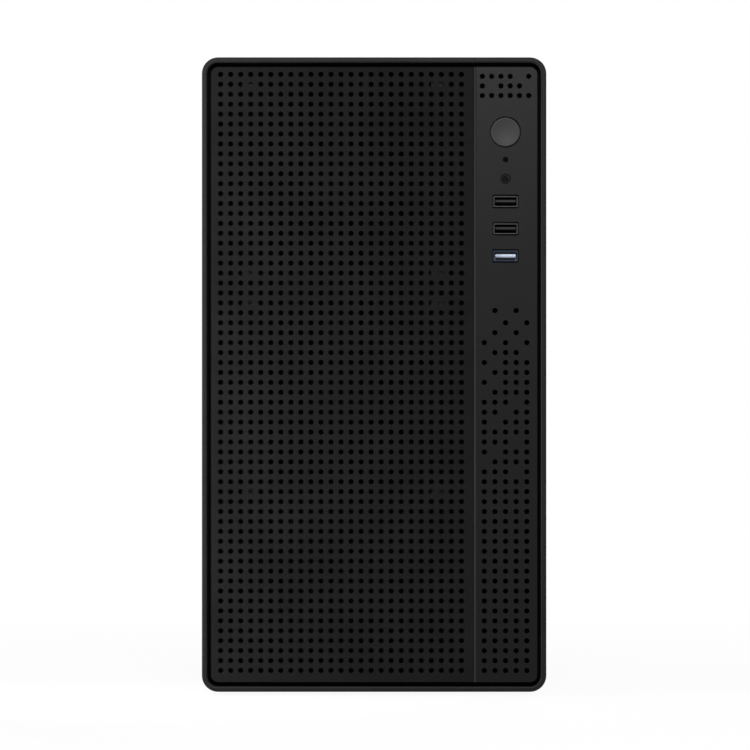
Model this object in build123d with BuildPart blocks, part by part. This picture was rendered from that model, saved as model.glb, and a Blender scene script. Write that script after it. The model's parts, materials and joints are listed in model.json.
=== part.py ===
"""A small desktop computer tower: a riveted steel chassis, a perforated front panel, and what is inside.

Millimetres, +Z up. The front faces -Y, and +X is to the right for someone who looks at the front.
The origin is on the floor, under the middle of the overall box.
"""

import os
from math import cos, pi, radians, sin, sqrt

from build123d import *

os.makedirs("parts", exist_ok=True)

# Front panel: outline, rim, and the groove round the inset
PANEL_W = 190.0
PANEL_H = 350.0
PANEL_D = 26.0
PANEL_LIFT = 2.0
PANEL_R = 9.0
RIM = 3.1
RIM_ROUND = 1.0
GROOVE_SIDE = 1.95
GROOVE_END = 2.3
INSET = 1.0
LEDGE_DEPTH = 8.0
LEDGE_T = 2.0
LEDGE_REACH = 3.0
PANEL_GAP = 0.2

# Friction posts that hold the front panel on the chassis
CLIP_W = 4.0
CLIP_H = 12.0
CLIP_REACH = 9.0
CLIP_EDGE = 7.0
CLIP_RISE = 137.0
CLIP_CLEAR = 0.4

# Perforated grille and the strip beside it
STRIP_W = 34.9
SEAM = 0.2
GRILLE_T = 1.0
HOLE_R = 1.45
HOLE_PITCH_X = 5.534
HOLE_PITCH_Z = 5.48
HOLE_MARGIN = 4.0
HOLE_SHIFT_X = -0.7
HOLE_SHIFT_Z = 1.2
STRIP_T = 2.0
STRIP_WALL = 1.6
STRIP_PROUD = 0.6
STRIP_BEVEL = 1.4
STRIP_PITCH_X = 5.858
STRIP_FULL_ROWS = 20
STRIP_COLUMNS = 5
VENT_PITCH_X = 5.12
VENT_PITCH_Z = 5.3
VENT_DROP = 5.1

# Vent holes of the strip, one letter for each place: o is a hole
TOP_VENT = ("oooo-o", "o-ooo-", "oooooo")
LONE_VENT = ("-o-o-",)
FADE_VENT = (
    "--o-o", "-o-o-", "o-o-o", "-ooo-", "o-ooo", "-oooo", "o-ooo", "-oooo",
    "ooo-o", "oo-oo", "o-ooo", "ooooo", "ooo-o", "o-ooo", "-oooo", "ooo-o",
)
LONE_RISE = 6.75

# Controls and sockets of the strip, each as a drop below the panel's top edge
BUTTON_DROP = 41.2
BUTTON_R = 8.0
BUTTON_GAP = 0.6
BUTTON_PROUD = 0.3
BUTTON_H = 7.0
BUTTON_DISH = 0.7
BUTTON_FLANGE = 1.6
BUTTON_TRAVEL = 1.2
STEM_R = 2.5
LED_DROP = 56.4
LED_R = 1.2
JACK_DROP = 66.9
JACK_R = 2.5
JACK_BORE_R = 1.8
JACK_BODY = 8.0
USB_DROP = 79.55
USB_PITCH = 15.0
USB_COUNT = 3
USB_W = 13.2
USB_H = 5.7
USB_SHELL = 0.4
USB_TONGUE_W = 11.1
USB_TONGUE_H = 1.84
USB_RECESS = 0.5
USB_TONGUE_BACK = 1.0
CUT_GAP_X = 0.55
CUT_GAP_Z = 0.95
PORT_GAP = 0.3

# Board behind the strip
IO_BOARD_W = 20.0
IO_BOARD_END = 12.0
IO_BOARD_R = 1.5
IO_SCREW_SIDE = 3.5
IO_SCREW_END = 4.0
IO_STANDOFF = 7.0
SWITCH_SIDE = 6.0
SWITCH_H = 3.5
PLUNGER_R = 1.7

# Chassis
CHASSIS_D = 320.0
SHEET = 1.0
SKIN = 0.8
FOOT_H = 12.0
SIDE_STEP = 1.0
TOP_STEP = 2.0
SLIDE_GAP = 0.4
FLANGE = 14.0
BEND_R = 2.0
LAP = 12.0
REAR_FLANGE_W = 16.0
RUNNER_HOOK = 9.0
RUNNER_BACK = 16.0
RUNNER_END = 6.0
FIT = 0.1
LAP_X = 70.0
LAP_RIVET_X = 60.0
VENT_SLOT_L = 34.0
VENT_SLOT_W = 4.0
VENT_SLOT_PITCH = 9.0
FLOOR_VENT_SLOTS = 9
ROOF_VENT_SLOTS = 10
MESH_R = 2.3
MESH_PITCH = 6.0
MESH_ROWS = 17

# Thumbscrews of the side panels
THUMB_R = 5.5
THUMB_H = 6.2
THUMB_SHANK_R = 1.75
THUMB_SHANK_L = 8.0
THUMB_CLEAR = 0.25
THUMB_RISE = 120.0
THUMB_KNURLS = 18
THUMB_KNURL_R = 0.5

# Feet
FOOT_R = 17.0
FOOT_TAPER = 2.0
PAD_R = 12.5
PAD_H = 2.5
PAD_PROUD = 1.5
FOOT_INSET_X = 24.0
FOOT_INSET_Y = 35.0
PEG_R = 3.0

# Rivets and small screws
RIVET_R = 1.6
RIVET_HEAD_R = 3.0
RIVET_HEAD_H = 0.8
RIVET_CLEAR = 0.15
SCREW_R = 1.45
SCREW_HEAD_R = 3.0
SCREW_HEAD_H = 2.0
SCREW_L = 6.0
SCREW_CLEAR = 0.35

# Fans
FAN_120 = 120.0
FAN_92 = 92.0
FAN_T = 25.0
FAN_HOLES_120 = 105.0
FAN_HOLES_92 = 82.5
FAN_RIM = 2.0
FAN_HOLE_R = 2.1
FAN_CORNER_R = 6.0
FAN_TIP_GAP = 1.2
FAN_HUB_R = 20.0
FAN_ARM_T = 3.5
FAN_ARM_W = 6.0
BEARING_R = 4.0
BEARING_GAP = 0.3
BLADES = 7
BLADE_T = 2.0
FAN_X = -17.5
FAN_PITCH = 122.0
FAN_LOW_Z = 164.0
BLADE_ROOT = 22.0
BLADE_ROOT_TWIST = 55.0
BLADE_TIP_TWIST = 72.0
BLADE_COVER = 1.02
FAN_SCREW_R = 1.75
FAN_SCREW_L = 11.0
REAR_FAN_X = -30.0
REAR_FAN_Z = 266.0

# Motherboard, on its tray behind the right side panel
TRAY_X = 78.0
TRAY_FRONT = 60.0
TRAY_HOLE_W = 18.0
STANDOFF_H = 6.5
STANDOFF_AF = 5.5
BOARD_T = 1.6
BOARD_H = 236.0
BOARD_D = 200.0
BOARD_TOP = 342.0
BOARD_BACK = 2.0
HOLE_ROWS = (33.0, 165.1)
HOLE_DROPS = (16.5, 174.0, 219.7)
IO_W = 44.45
IO_H = 158.75
IO_ABOVE = 2.25
IO_BEHIND = 2.1
SHIELD_LIP = 2.0
SHIELD_T = 0.6
CPU_DROP = 88.0
CPU_IN = 92.0
SOCKET_SIDE = 48.0
SOCKET_H = 4.0
CPU_SIDE = 36.0
CPU_H = 3.2
SINK_SIDE = 90.0
SINK_BASE = 6.0
SINK_H = 36.0
SINK_FINS = 19
SINK_FIN_T = 1.2
SINK_PLATE = 3.0
CHIPSET_SIDE = 34.0
CHIPSET_H = 12.0
CHIPSET_FINS = 8
CHIPSET_Y = -2.0
CHIPSET_Z = 145.0
CAP_R = 3.2
CAP_H = 8.0
CAP_COUNT = 8
CAP_PITCH = 9.0
COIL_SIDE = 7.0
COIL_H = 5.0
CHIP_SIDE = 14.0
CHIP_SPOTS = ((50.0, 72.0), (-10.0, 14.0), (-30.0, 30.0))
CHIP_H = 1.6
COOLER_POST_R = 3.5
COOLER_POST_SPAN = 75.0
RAM_COUNT = 2
RAM_PITCH = 10.0
RAM_IN = 148.0
RAM_L = 133.35
RAM_H = 31.25
RAM_T = 1.3
RAM_CHIP = 1.0
RAM_SLOT_W = 6.5
RAM_SLOT_H = 7.0
RAM_SEAT = 3.5
RAM_CHIPS = 8
RAM_CHIP_L = 11.1
CARD_IN = 48.0
CARD_LONG = 89.0
CARD_SHORT = 25.0
CARD_W = 7.5
CARD_H = 11.0
SOCKET_EDGE = 2.0
ATX_W = 9.5
ATX_L = 52.0
ATX_Z = 240.0
EPS_W = 9.5
EPS_L = 18.0
PLUG_H = 12.0
SATA_W = 8.0
SATA_L = 15.0
SATA_H = 8.0
SATA_Z = 128.0
SATA_PLUG_H = 10.0
HEADER_Y = -10.0
HEADER_L = 20.0
HEADER_W = 6.0

# Sockets at the back of the board, each as a drop below the top of the opening for them
PORT_D = 18.0
PORT_PROUD = 0.5
PORT_DEPTH = 12.0
STACK_DROPS = (14.0, 56.0)
STACK_W = 14.5
STACK_H = 15.6
VIDEO_DROP = 35.0
VIDEO_W = 15.0
VIDEO_H = 6.5
LAN_DROP = 79.0
LAN_W = 16.0
LAN_H = 13.6
LAN_ROOM_W = 12.0
LAN_ROOM_H = 8.0
LAN_LATCH = 3.0
AUDIO_DROP = 105.0
AUDIO_W = 12.5
AUDIO_COUNT = 3
AUDIO_PITCH = 12.0
AUDIO_NOSE_R = 4.0

# Expansion slots
SLOT_COUNT = 4
SLOT_PITCH = 20.32
SLOT_DROP = 168.0
SLOT_W = 13.0
SLOT_L = 106.0
COVER_W = 18.0
COVER_OVER = 5.0

# Power supply
PSU_W = 150.0
PSU_H = 86.0
PSU_D = 125.0
PSU_LIFT = 4.6
PSU_WALL = 1.0
PSU_SCREW_X = 69.0
PSU_SCREW_Z = 37.0
PSU_FRAME = 5.0
PSU_CORNER = 15.0
INLET_X = 46.0
INLET_W = 27.0
INLET_H = 20.0
INLET_DEPTH = 18.0
INLET_HOLE_W = 24.0
INLET_HOLE_H = 16.3
INLET_HOLE_D = 16.0
INLET_FLANGE = 2.0
INLET_PIN_L = 10.5
ROCKER_X = 14.0
ROCKER_W = 9.0
ROCKER_H = 14.0
ROCKER_DEPTH = 6.0
ROCKER_BACK = 3.6
ROCKER_FOOT = 10.08
ROCKER_TILT = 7.0
ROCKER_GAP = 0.6
ROCKER_WALL = 1.5
ROCKER_PIN_R = 1.2
PSU_RAIL_X = 63.5
PSU_RAIL_W = 6.0
PSU_VENT_X = -34.0
PSU_VENT_COLUMNS = 9
PSU_VENT_ROWS = 9
GUARD_T = 1.4
GUARD_RINGS = 5
INLET_PIN_X = 7.0
INLET_PIN_Z = 2.0
INLET_PIN_T = 2.0
INLET_PIN_W = 4.0

# Drive
DRIVE_W = 101.6
DRIVE_L = 147.0
DRIVE_H = 26.1
DRIVE_X = -15.0
DRIVE_BACK = 18.0
DRIVE_LIFT = 4.0
CAGE_H = 34.0
DRIVE_SCREW_RISE = 6.35
DRIVE_SCREW_YS = (28.5, 130.0)

# Cables
PSU_OUT_Z = 86.0
ATX_X = 24.0
ATX_R = 6.5
EPS_X = 44.0
EPS_R = 4.5
EPS_OUT = 17.5
DRIVE_CABLE_X = -20.0
DRIVE_CABLE_Z = 54.0
DRIVE_R = 3.0
DRIVE_PLUG_L = 10.0
DRIVE_PLUG_H = 6.0
DRIVE_PLUG_RISE = 4.5
POWER_PLUG_W = 22.0
DATA_PLUG_W = 11.0
SATA_X = 6.0
SATA_LOW_Z = 66.0
SATA_R = 2.5
PANEL_CABLE_R = 3.2
PANEL_CABLE_OUT = 28.0

# Places that follow from the sizes above
Y_FRONT = -(PANEL_D + CHASSIS_D + SKIN + THUMB_H) / 2
Y_PLATE = Y_FRONT + PANEL_D
Y_REAR = Y_PLATE + CHASSIS_D
Y_INNER_REAR = Y_REAR - SHEET
Y_INNER_FRONT = Y_PLATE + SHEET
Y_LEDGE = Y_FRONT + LEDGE_DEPTH
Y_GRILLE = Y_FRONT + INSET
Y_STRIP = Y_GRILLE - STRIP_PROUD
Z_PANEL = PANEL_LIFT + PANEL_H / 2
Z_PANEL_TOP = PANEL_LIFT + PANEL_H
Z_FLOOR = FOOT_H + SHEET
Z_SKIRT = PANEL_LIFT + RIM
Z_ROOF_OUT = Z_PANEL_TOP - TOP_STEP
Z_ROOF = Z_ROOF_OUT - SHEET
X_SKIN_OUT = PANEL_W / 2 - SIDE_STEP
X_SKIN = X_SKIN_OUT - SKIN
X_FLANGE_OUT = X_SKIN - SLIDE_GAP
X_FLANGE = X_FLANGE_OUT - SHEET
X_HOOK_OUT = X_FLANGE - SLIDE_GAP
X_HOOK = X_HOOK_OUT - SKIN
X_INSET = PANEL_W / 2 - RIM - GROOVE_SIDE
Z_INSET_LOW = PANEL_LIFT + RIM + GROOVE_END
Z_INSET_HIGH = Z_PANEL_TOP - RIM - GROOVE_END
INSET_R = PANEL_R - RIM - GROOVE_SIDE
X_STRIP = X_INSET - STRIP_W
X_GRILLE = X_STRIP - SEAM
STRIP_MID = (X_STRIP + X_INSET) / 2
Y_IO_BOARD = Y_PLATE - IO_STANDOFF - BOARD_T
Y_TRAY = Y_PLATE + TRAY_FRONT
X_BOARD_BACK = TRAY_X - STANDOFF_H
X_BOARD = X_BOARD_BACK - BOARD_T
Y_BOARD = Y_REAR - BOARD_BACK
Y_BOARD_FRONT = Y_BOARD - BOARD_D
Z_BOARD = BOARD_TOP - BOARD_H
Z_IO_HIGH = BOARD_TOP + IO_ABOVE
Z_IO_LOW = Z_IO_HIGH - IO_H
X_IO_HIGH = X_BOARD + IO_BEHIND
X_IO_LOW = X_IO_HIGH - IO_W
Z_CPU = BOARD_TOP - CPU_DROP
Y_CPU = Y_BOARD - CPU_IN
X_SOCKET = X_BOARD - SOCKET_H
X_CPU = X_SOCKET - CPU_H
X_SINK = X_CPU - SINK_H
Z_PSU = Z_FLOOR + PSU_LIFT
Z_PSU_TOP = Z_PSU + PSU_H
Z_PSU_MID = Z_PSU + PSU_H / 2
Y_PSU = Y_INNER_REAR - PSU_D
Y_PSU_FAN = Y_INNER_REAR - PSU_D / 2
Y_DRIVE = Y_PLATE + DRIVE_BACK
Z_DRIVE = Z_FLOOR + SHEET + DRIVE_LIFT


def keep(piece, node):
    """Label a finished piece and write it as its own file."""
    piece.label = node
    export_step(piece, f"parts/{node}.step")


def slab(x, y, z, mode=Mode.ADD):
    """A box in the current part that spans three (low, high) pairs."""
    with Locations(((x[0] + x[1]) / 2, (y[0] + y[1]) / 2, (z[0] + z[1]) / 2)):
        Box(x[1] - x[0], y[1] - y[0], z[1] - z[0], mode=mode)


def about(middle, width):
    """The (low, high) pair of a width centred at a middle."""
    return (middle - width / 2, middle + width / 2)


def to_side(side, inner, outer):
    """The (low, high) pair between two distances out to one side: -1 is the left, 1 the right."""
    return sorted((side * inner, side * outer))


def front(x, y, z):
    """A plane at a point that faces the front: local X is +X, local Y is +Z."""
    return Plane(origin=(x, y, z), x_dir=(1, 0, 0), z_dir=(0, -1, 0))


def back(x, y, z):
    """A plane at a point that faces the rear: local X is -X, local Y is +Z."""
    return Plane(origin=(x, y, z), x_dir=(-1, 0, 0), z_dir=(0, 1, 0))


def left(x, y, z):
    """A plane at a point that faces the left side: local X is -Y, local Y is +Z."""
    return Plane(origin=(x, y, z), x_dir=(0, -1, 0), z_dir=(-1, 0, 0))


def right(x, y, z):
    """A plane at a point that faces the right side: local X is +Y, local Y is +Z."""
    return Plane(origin=(x, y, z), x_dir=(0, 1, 0), z_dir=(1, 0, 0))


def under(x, y, z):
    """A plane at a point that faces the floor: local X is +X, local Y is -Y."""
    return Plane(origin=(x, y, z), x_dir=(1, 0, 0), z_dir=(0, 0, -1))


def over(x, y, z):
    """A plane at a point that faces up: local X is +X, local Y is +Y."""
    return Plane(origin=(x, y, z))


def span(count, pitch):
    """Offsets of a centred row of places."""
    return [(k - (count - 1) / 2) * pitch for k in range(count)]


def letters(rows, pitch_x, pitch_y, top):
    """Places of the o letters of a pattern, centred side to side, from its top row down."""
    return [
        (x, top - row * pitch_y)
        for row, text in enumerate(rows)
        for x, mark in zip(span(len(text), pitch_x), text)
        if mark == "o"
    ]


def pierce(sketch, radius, places):
    """Cut round holes out of the one face of a sketch, all together."""
    rings = [Wire.make_circle(radius, Plane(origin=(x, y, 0))) for x, y in places]
    face = sketch.face()
    add(Face(face.outer_wire(), list(face.inner_wires()) + rings), mode=Mode.REPLACE)


# Front bezel: the rim, the ledge behind the groove, and the posts that hold it on the chassis
clip_places = [
    (side * (X_INSET - CLIP_EDGE + CLIP_W / 2), Z_PANEL + rise)
    for side in (-1, 1)
    for rise in (-CLIP_RISE, 0, CLIP_RISE)
]
ledge_window_z = (Z_INSET_LOW + LEDGE_REACH, Z_INSET_HIGH - LEDGE_REACH)

with BuildPart() as front_bezel:
    with BuildSketch(front(0, Y_FRONT, Z_PANEL)):
        RectangleRounded(PANEL_W, PANEL_H, PANEL_R)
        RectangleRounded(PANEL_W - 2 * RIM, PANEL_H - 2 * RIM, PANEL_R - RIM, mode=Mode.SUBTRACT)
    extrude(amount=-(PANEL_D - PANEL_GAP))
    fillet(front_bezel.edges().group_by(Axis.Y)[0], RIM_ROUND)
    with BuildSketch(front(0, Y_LEDGE, Z_PANEL)):
        RectangleRounded(PANEL_W - 2 * RIM, PANEL_H - 2 * RIM, PANEL_R - RIM)
        for low, high in ((-X_INSET, X_GRILLE), (X_STRIP, X_INSET)):
            with Locations(((low + high) / 2, sum(ledge_window_z) / 2 - Z_PANEL)):
                Rectangle(
                    high - low - 2 * LEDGE_REACH,
                    ledge_window_z[1] - ledge_window_z[0],
                    mode=Mode.SUBTRACT,
                )
        with Locations(*[(x, z - Z_PANEL) for x, z in clip_places]):
            Rectangle(CLIP_W, CLIP_H)
    extrude(amount=-LEDGE_T)
    with BuildSketch(front(0, Y_LEDGE + LEDGE_T, 0)):
        with Locations(*clip_places):
            Rectangle(CLIP_W, CLIP_H)
    extrude(amount=-(Y_PLATE + CLIP_REACH - Y_LEDGE - LEDGE_T))
keep(front_bezel.part, "front_bezel")

# Front grille: a perforated pan whose folded edges stand on the ledge
grille_w = X_GRILLE + X_INSET
grille_h = Z_INSET_HIGH - Z_INSET_LOW
grille_mid = (X_GRILLE - X_INSET) / 2
grille_columns = int((grille_w - 2 * HOLE_MARGIN) / HOLE_PITCH_X) + 1
grille_rows = int((grille_h - 2 * HOLE_MARGIN) / HOLE_PITCH_Z) + 1
first_row_z = Z_PANEL + HOLE_SHIFT_Z - (grille_rows - 1) / 2 * HOLE_PITCH_Z

grille_holes = [
    (x + HOLE_SHIFT_X, z + HOLE_SHIFT_Z)
    for x in span(grille_columns, HOLE_PITCH_X)
    for z in span(grille_rows, HOLE_PITCH_Z)
]

with BuildPart() as front_grille:
    with BuildSketch(front(grille_mid, Y_GRILLE, Z_PANEL)) as face:
        Rectangle(grille_w, grille_h)
        fillet(vertices().group_by(Axis.X)[0], INSET_R)
        pierce(face, HOLE_R, grille_holes)
    extrude(amount=-GRILLE_T)
    with BuildSketch(front(grille_mid, Y_GRILLE + GRILLE_T, Z_PANEL)):
        Rectangle(grille_w, grille_h)
        fillet(vertices().group_by(Axis.X)[0], INSET_R)
        offset(amount=-GRILLE_T, kind=Kind.INTERSECTION, mode=Mode.SUBTRACT)
    extrude(amount=-(Y_LEDGE - Y_GRILLE - GRILLE_T))
keep(front_grille.part, "front_grille")

# Strip beside the grille, with its controls' openings and vents
usb_drops = [USB_DROP + k * USB_PITCH for k in range(USB_COUNT)]
collar_r = BUTTON_R + BUTTON_GAP
collar_wall = STRIP_WALL
collar_d = BUTTON_H - BUTTON_PROUD - BUTTON_FLANGE - STRIP_T
button_z = Z_PANEL_TOP - BUTTON_DROP
vent_top = Z_INSET_HIGH - VENT_DROP
fade_top = first_row_z + (STRIP_FULL_ROWS + len(FADE_VENT) - 1) * HOLE_PITCH_Z

with BuildPart() as io_strip:
    with BuildSketch(front(STRIP_MID, Y_STRIP, Z_PANEL)):
        Rectangle(STRIP_W, grille_h)
        fillet(vertices().group_by(Axis.X)[-1], INSET_R)
    extrude(amount=-(Y_LEDGE - Y_STRIP))
    chamfer(
        io_strip.edges().group_by(Axis.Y)[0].sort_by(Axis.X)[0],
        length=STRIP_PROUD,
        length2=STRIP_BEVEL,
        reference=io_strip.faces().sort_by(Axis.X)[0],
    )
    with BuildSketch(front(STRIP_MID, Y_STRIP + STRIP_T, Z_PANEL)):
        Rectangle(STRIP_W, grille_h)
        fillet(vertices().group_by(Axis.X)[-1], INSET_R)
        offset(amount=-STRIP_WALL, kind=Kind.INTERSECTION, mode=Mode.REPLACE)
    extrude(amount=-(Y_LEDGE - Y_STRIP - STRIP_T), mode=Mode.SUBTRACT)
    with BuildSketch(front(STRIP_MID, Y_STRIP + STRIP_T, button_z)):
        Circle(collar_r + collar_wall)
    extrude(amount=-collar_d)
    with BuildSketch(front(STRIP_MID, Y_STRIP, 0)):
        with Locations((0, button_z)):
            Circle(collar_r)
        with Locations((0, Z_PANEL_TOP - LED_DROP)):
            Circle(LED_R + PORT_GAP)
        with Locations((0, Z_PANEL_TOP - JACK_DROP)):
            Circle(JACK_R + PORT_GAP)
        with Locations(*[(0, Z_PANEL_TOP - drop) for drop in usb_drops]):
            Rectangle(USB_W + 2 * CUT_GAP_X, USB_H + 2 * CUT_GAP_Z)
        with Locations(*letters(TOP_VENT, VENT_PITCH_X, VENT_PITCH_Z, vent_top)):
            Circle(HOLE_R)
        with Locations(*letters(LONE_VENT, STRIP_PITCH_X, HOLE_PITCH_Z, fade_top + LONE_RISE)):
            Circle(HOLE_R)
        with Locations(*letters(FADE_VENT, STRIP_PITCH_X, HOLE_PITCH_Z, fade_top)):
            Circle(HOLE_R)
        for x in span(STRIP_COLUMNS, STRIP_PITCH_X):
            with Locations(*[(x, first_row_z + row * HOLE_PITCH_Z) for row in range(STRIP_FULL_ROWS)]):
                Circle(HOLE_R)
    extrude(amount=-(STRIP_T + collar_d), mode=Mode.SUBTRACT)
keep(io_strip.part, "io_strip")

# Power button: a dished cap with a flange behind the strip's collar and a stem to the switch
y_button = Y_STRIP - BUTTON_PROUD
y_flange = Y_STRIP + STRIP_T + collar_d
y_plunger = Y_IO_BOARD - SWITCH_H - BUTTON_TRAVEL
dish_r = BUTTON_R - STRIP_WALL / 2
dish_ball = (dish_r**2 + BUTTON_DISH**2) / (2 * BUTTON_DISH)

with BuildPart() as power_button:
    with BuildSketch(front(STRIP_MID, y_button, button_z)):
        Circle(BUTTON_R)
    extrude(amount=-BUTTON_H)
    fillet(power_button.edges().group_by(Axis.Y)[0], STRIP_WALL / 4)
    with BuildSketch(front(STRIP_MID, y_flange + FIT, button_z)):
        Circle(collar_r + collar_wall / 2)
    extrude(amount=-(BUTTON_FLANGE - FIT))
    with BuildSketch(front(STRIP_MID, y_flange, button_z)):
        Circle(STEM_R)
    extrude(amount=-(y_plunger - y_flange))
    with Locations((STRIP_MID, y_button + BUTTON_DISH - dish_ball, button_z)):
        Sphere(dish_ball, mode=Mode.SUBTRACT)
keep(power_button.part, "power_button")

# Board behind the strip, with the switch, the light, the headset jack and the USB sockets on it
io_high = button_z + IO_BOARD_END
io_low = Z_PANEL_TOP - usb_drops[-1] - IO_BOARD_END
io_screws = [
    (STRIP_MID + side * (IO_BOARD_W / 2 - IO_SCREW_SIDE), z)
    for side in (-1, 1)
    for z in (io_low + IO_SCREW_END, io_high - IO_SCREW_END)
]
Y_PORT = Y_STRIP + USB_RECESS

with BuildPart() as io_board:
    with BuildSketch(front(STRIP_MID, Y_IO_BOARD, (io_low + io_high) / 2)):
        RectangleRounded(IO_BOARD_W, io_high - io_low, IO_BOARD_R)
    extrude(amount=-BOARD_T)
    with BuildSketch(front(0, Y_IO_BOARD, 0)):
        with Locations(*io_screws):
            Circle(SCREW_R + SCREW_CLEAR)
    extrude(amount=-BOARD_T, mode=Mode.SUBTRACT)
keep(io_board.part, "io_board")

with BuildPart() as power_switch:
    with BuildSketch(front(STRIP_MID, Y_IO_BOARD, button_z)):
        Rectangle(SWITCH_SIDE, SWITCH_SIDE)
    extrude(amount=SWITCH_H)
    with BuildSketch(front(STRIP_MID, Y_IO_BOARD - SWITCH_H, button_z)):
        Circle(PLUNGER_R + FIT)
    extrude(amount=-(SWITCH_H - FIT), mode=Mode.SUBTRACT)
keep(power_switch.part, "power_switch")

with BuildPart() as switch_plunger:
    with BuildSketch(front(STRIP_MID, y_plunger, button_z)):
        Circle(PLUNGER_R)
    extrude(amount=-(SWITCH_H - 2 * FIT))
keep(switch_plunger.part, "switch_plunger")

with BuildPart() as power_light:
    with BuildSketch(front(STRIP_MID, Y_PORT, Z_PANEL_TOP - LED_DROP)):
        Circle(LED_R)
    extrude(amount=-(Y_IO_BOARD - Y_PORT))
    with BuildSketch(front(STRIP_MID, Y_IO_BOARD, Z_PANEL_TOP - LED_DROP)):
        Rectangle(4 * LED_R, 3 * LED_R)
    extrude(amount=3 * LED_R)
keep(power_light.part, "power_light")

with BuildPart() as headset_jack:
    with BuildSketch(front(STRIP_MID, Y_PORT, Z_PANEL_TOP - JACK_DROP)):
        Circle(JACK_R)
    extrude(amount=-(Y_LEDGE - Y_PORT))
    with BuildSketch(front(STRIP_MID, Y_LEDGE, Z_PANEL_TOP - JACK_DROP)):
        Rectangle(JACK_BODY, JACK_BODY)
    extrude(amount=-(Y_IO_BOARD - Y_LEDGE))
    with BuildSketch(front(STRIP_MID, Y_PORT, Z_PANEL_TOP - JACK_DROP)):
        Circle(JACK_BORE_R)
    extrude(amount=-(Y_IO_BOARD - Y_PORT - SHEET), mode=Mode.SUBTRACT)
keep(headset_jack.part, "headset_jack")

with BuildPart() as usb_shells:
    with BuildSketch(front(STRIP_MID, Y_PORT, Z_PANEL_TOP)):
        with Locations(*[(0, -drop) for drop in usb_drops]):
            RectangleRounded(USB_W, USB_H, USB_SHELL)
            Rectangle(USB_W - 2 * USB_SHELL, USB_H - 2 * USB_SHELL, mode=Mode.SUBTRACT)
    extrude(amount=-(Y_IO_BOARD - Y_PORT))
keep(usb_shells.part, "usb_shells")


def usb_tongues(drops):
    """Contact tongues of the sockets at these drops, each on a block that fills the back of its shell."""
    with BuildPart() as tongues:
        with BuildSketch(front(STRIP_MID, Y_PORT + USB_TONGUE_BACK, Z_PANEL_TOP)):
            with Locations(*[(0, -drop) for drop in drops]):
                Rectangle(USB_TONGUE_W, USB_TONGUE_H)
        extrude(amount=-(Y_LEDGE - Y_PORT - USB_TONGUE_BACK))
        with BuildSketch(front(STRIP_MID, Y_LEDGE, Z_PANEL_TOP)):
            with Locations(*[(0, -drop) for drop in drops]):
                Rectangle(USB_W - 2 * USB_SHELL - FIT, USB_H - 2 * USB_SHELL - FIT)
        extrude(amount=-(Y_IO_BOARD - Y_LEDGE))
    return tongues.part


keep(usb_tongues(usb_drops[:-1]), "usb2_tongues")
keep(usb_tongues(usb_drops[-1:]), "usb3_tongue")

# Feet under the floor pan, with rubber pads let into them
foot_places = [
    (side * (PANEL_W / 2 - FOOT_INSET_X), y)
    for side in (-1, 1)
    for y in (Y_PLATE + FOOT_INSET_Y, Y_REAR - FOOT_INSET_Y)
]

with BuildPart() as feet:
    with BuildSketch(over(0, 0, FOOT_H)):
        with Locations(*foot_places):
            Circle(FOOT_R)
    extrude(amount=-(FOOT_H - PAD_PROUD))
    chamfer(feet.edges().group_by(Axis.Z)[0], FOOT_TAPER)
    with BuildSketch(over(0, 0, PAD_PROUD)):
        with Locations(*foot_places):
            Circle(PAD_R + FIT)
    extrude(amount=PAD_H - PAD_PROUD, mode=Mode.SUBTRACT)
    with BuildSketch(over(0, 0, FOOT_H)):
        with Locations(*foot_places):
            Circle(PEG_R)
    extrude(amount=SHEET + RIVET_HEAD_H)
keep(feet.part, "feet")

with BuildPart() as foot_pads:
    with BuildSketch(over(0, 0, 0)):
        with Locations(*foot_places):
            Circle(PAD_R)
    extrude(amount=PAD_H)
    fillet(foot_pads.edges().group_by(Axis.Z)[0], FIT * 5)
keep(foot_pads.part, "foot_pads")

# Places where the sheets are riveted, through the floor and through the roof alike
lap_mid = SHEET + LAP / 2
lap_ys = (Y_PLATE + lap_mid, Y_REAR - lap_mid)
tray_rivet_x = TRAY_X + SHEET + LAP / 2
tray_rivet_ys = (Y_TRAY + LAP, (Y_TRAY + Y_REAR) / 2, Y_REAR - LAP)
lap_rivets = [(x, y) for x in (-LAP_RIVET_X, 0, LAP_RIVET_X) for y in lap_ys]
lap_rivets += [(tray_rivet_x, y) for y in tray_rivet_ys]


def rivet_holes(low):
    """Cut the rivets' holes out of the sheet of the current part whose underside is at this height."""
    with BuildSketch(over(0, 0, low)) as holes:
        with Locations(*lap_rivets):
            Circle(RIVET_R + RIVET_CLEAR)
    extrude(holes.sketch, amount=SHEET, mode=Mode.SUBTRACT)


def laps(y):
    """Flanges of an upright plate, one on the floor and one under the roof, from this depth back."""
    for low in (Z_FLOOR, Z_ROOF - SHEET):
        slab((-LAP_X, LAP_X), (y, y + LAP), (low, low + SHEET))
        rivet_holes(low)


with BuildPart() as rivets:
    for low in (FOOT_H, Z_ROOF - SHEET):
        with BuildSketch(over(0, 0, low)):
            with Locations(*lap_rivets):
                Circle(RIVET_R)
        extrude(amount=2 * SHEET)
        for plane in (under(0, 0, low), over(0, 0, low + 2 * SHEET)):
            flip = -1 if plane.z_dir.Z < 0 else 1
            with BuildSketch(plane):
                with Locations(*[(x, flip * y) for x, y in lap_rivets]):
                    Circle(RIVET_HEAD_R)
            extrude(amount=RIVET_HEAD_H)
keep(rivets.part, "rivets")

# Floor pan: side flanges, rails under the power supply, and a vent below its fan
flange_y = (Y_INNER_FRONT, Y_INNER_REAR)

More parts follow.
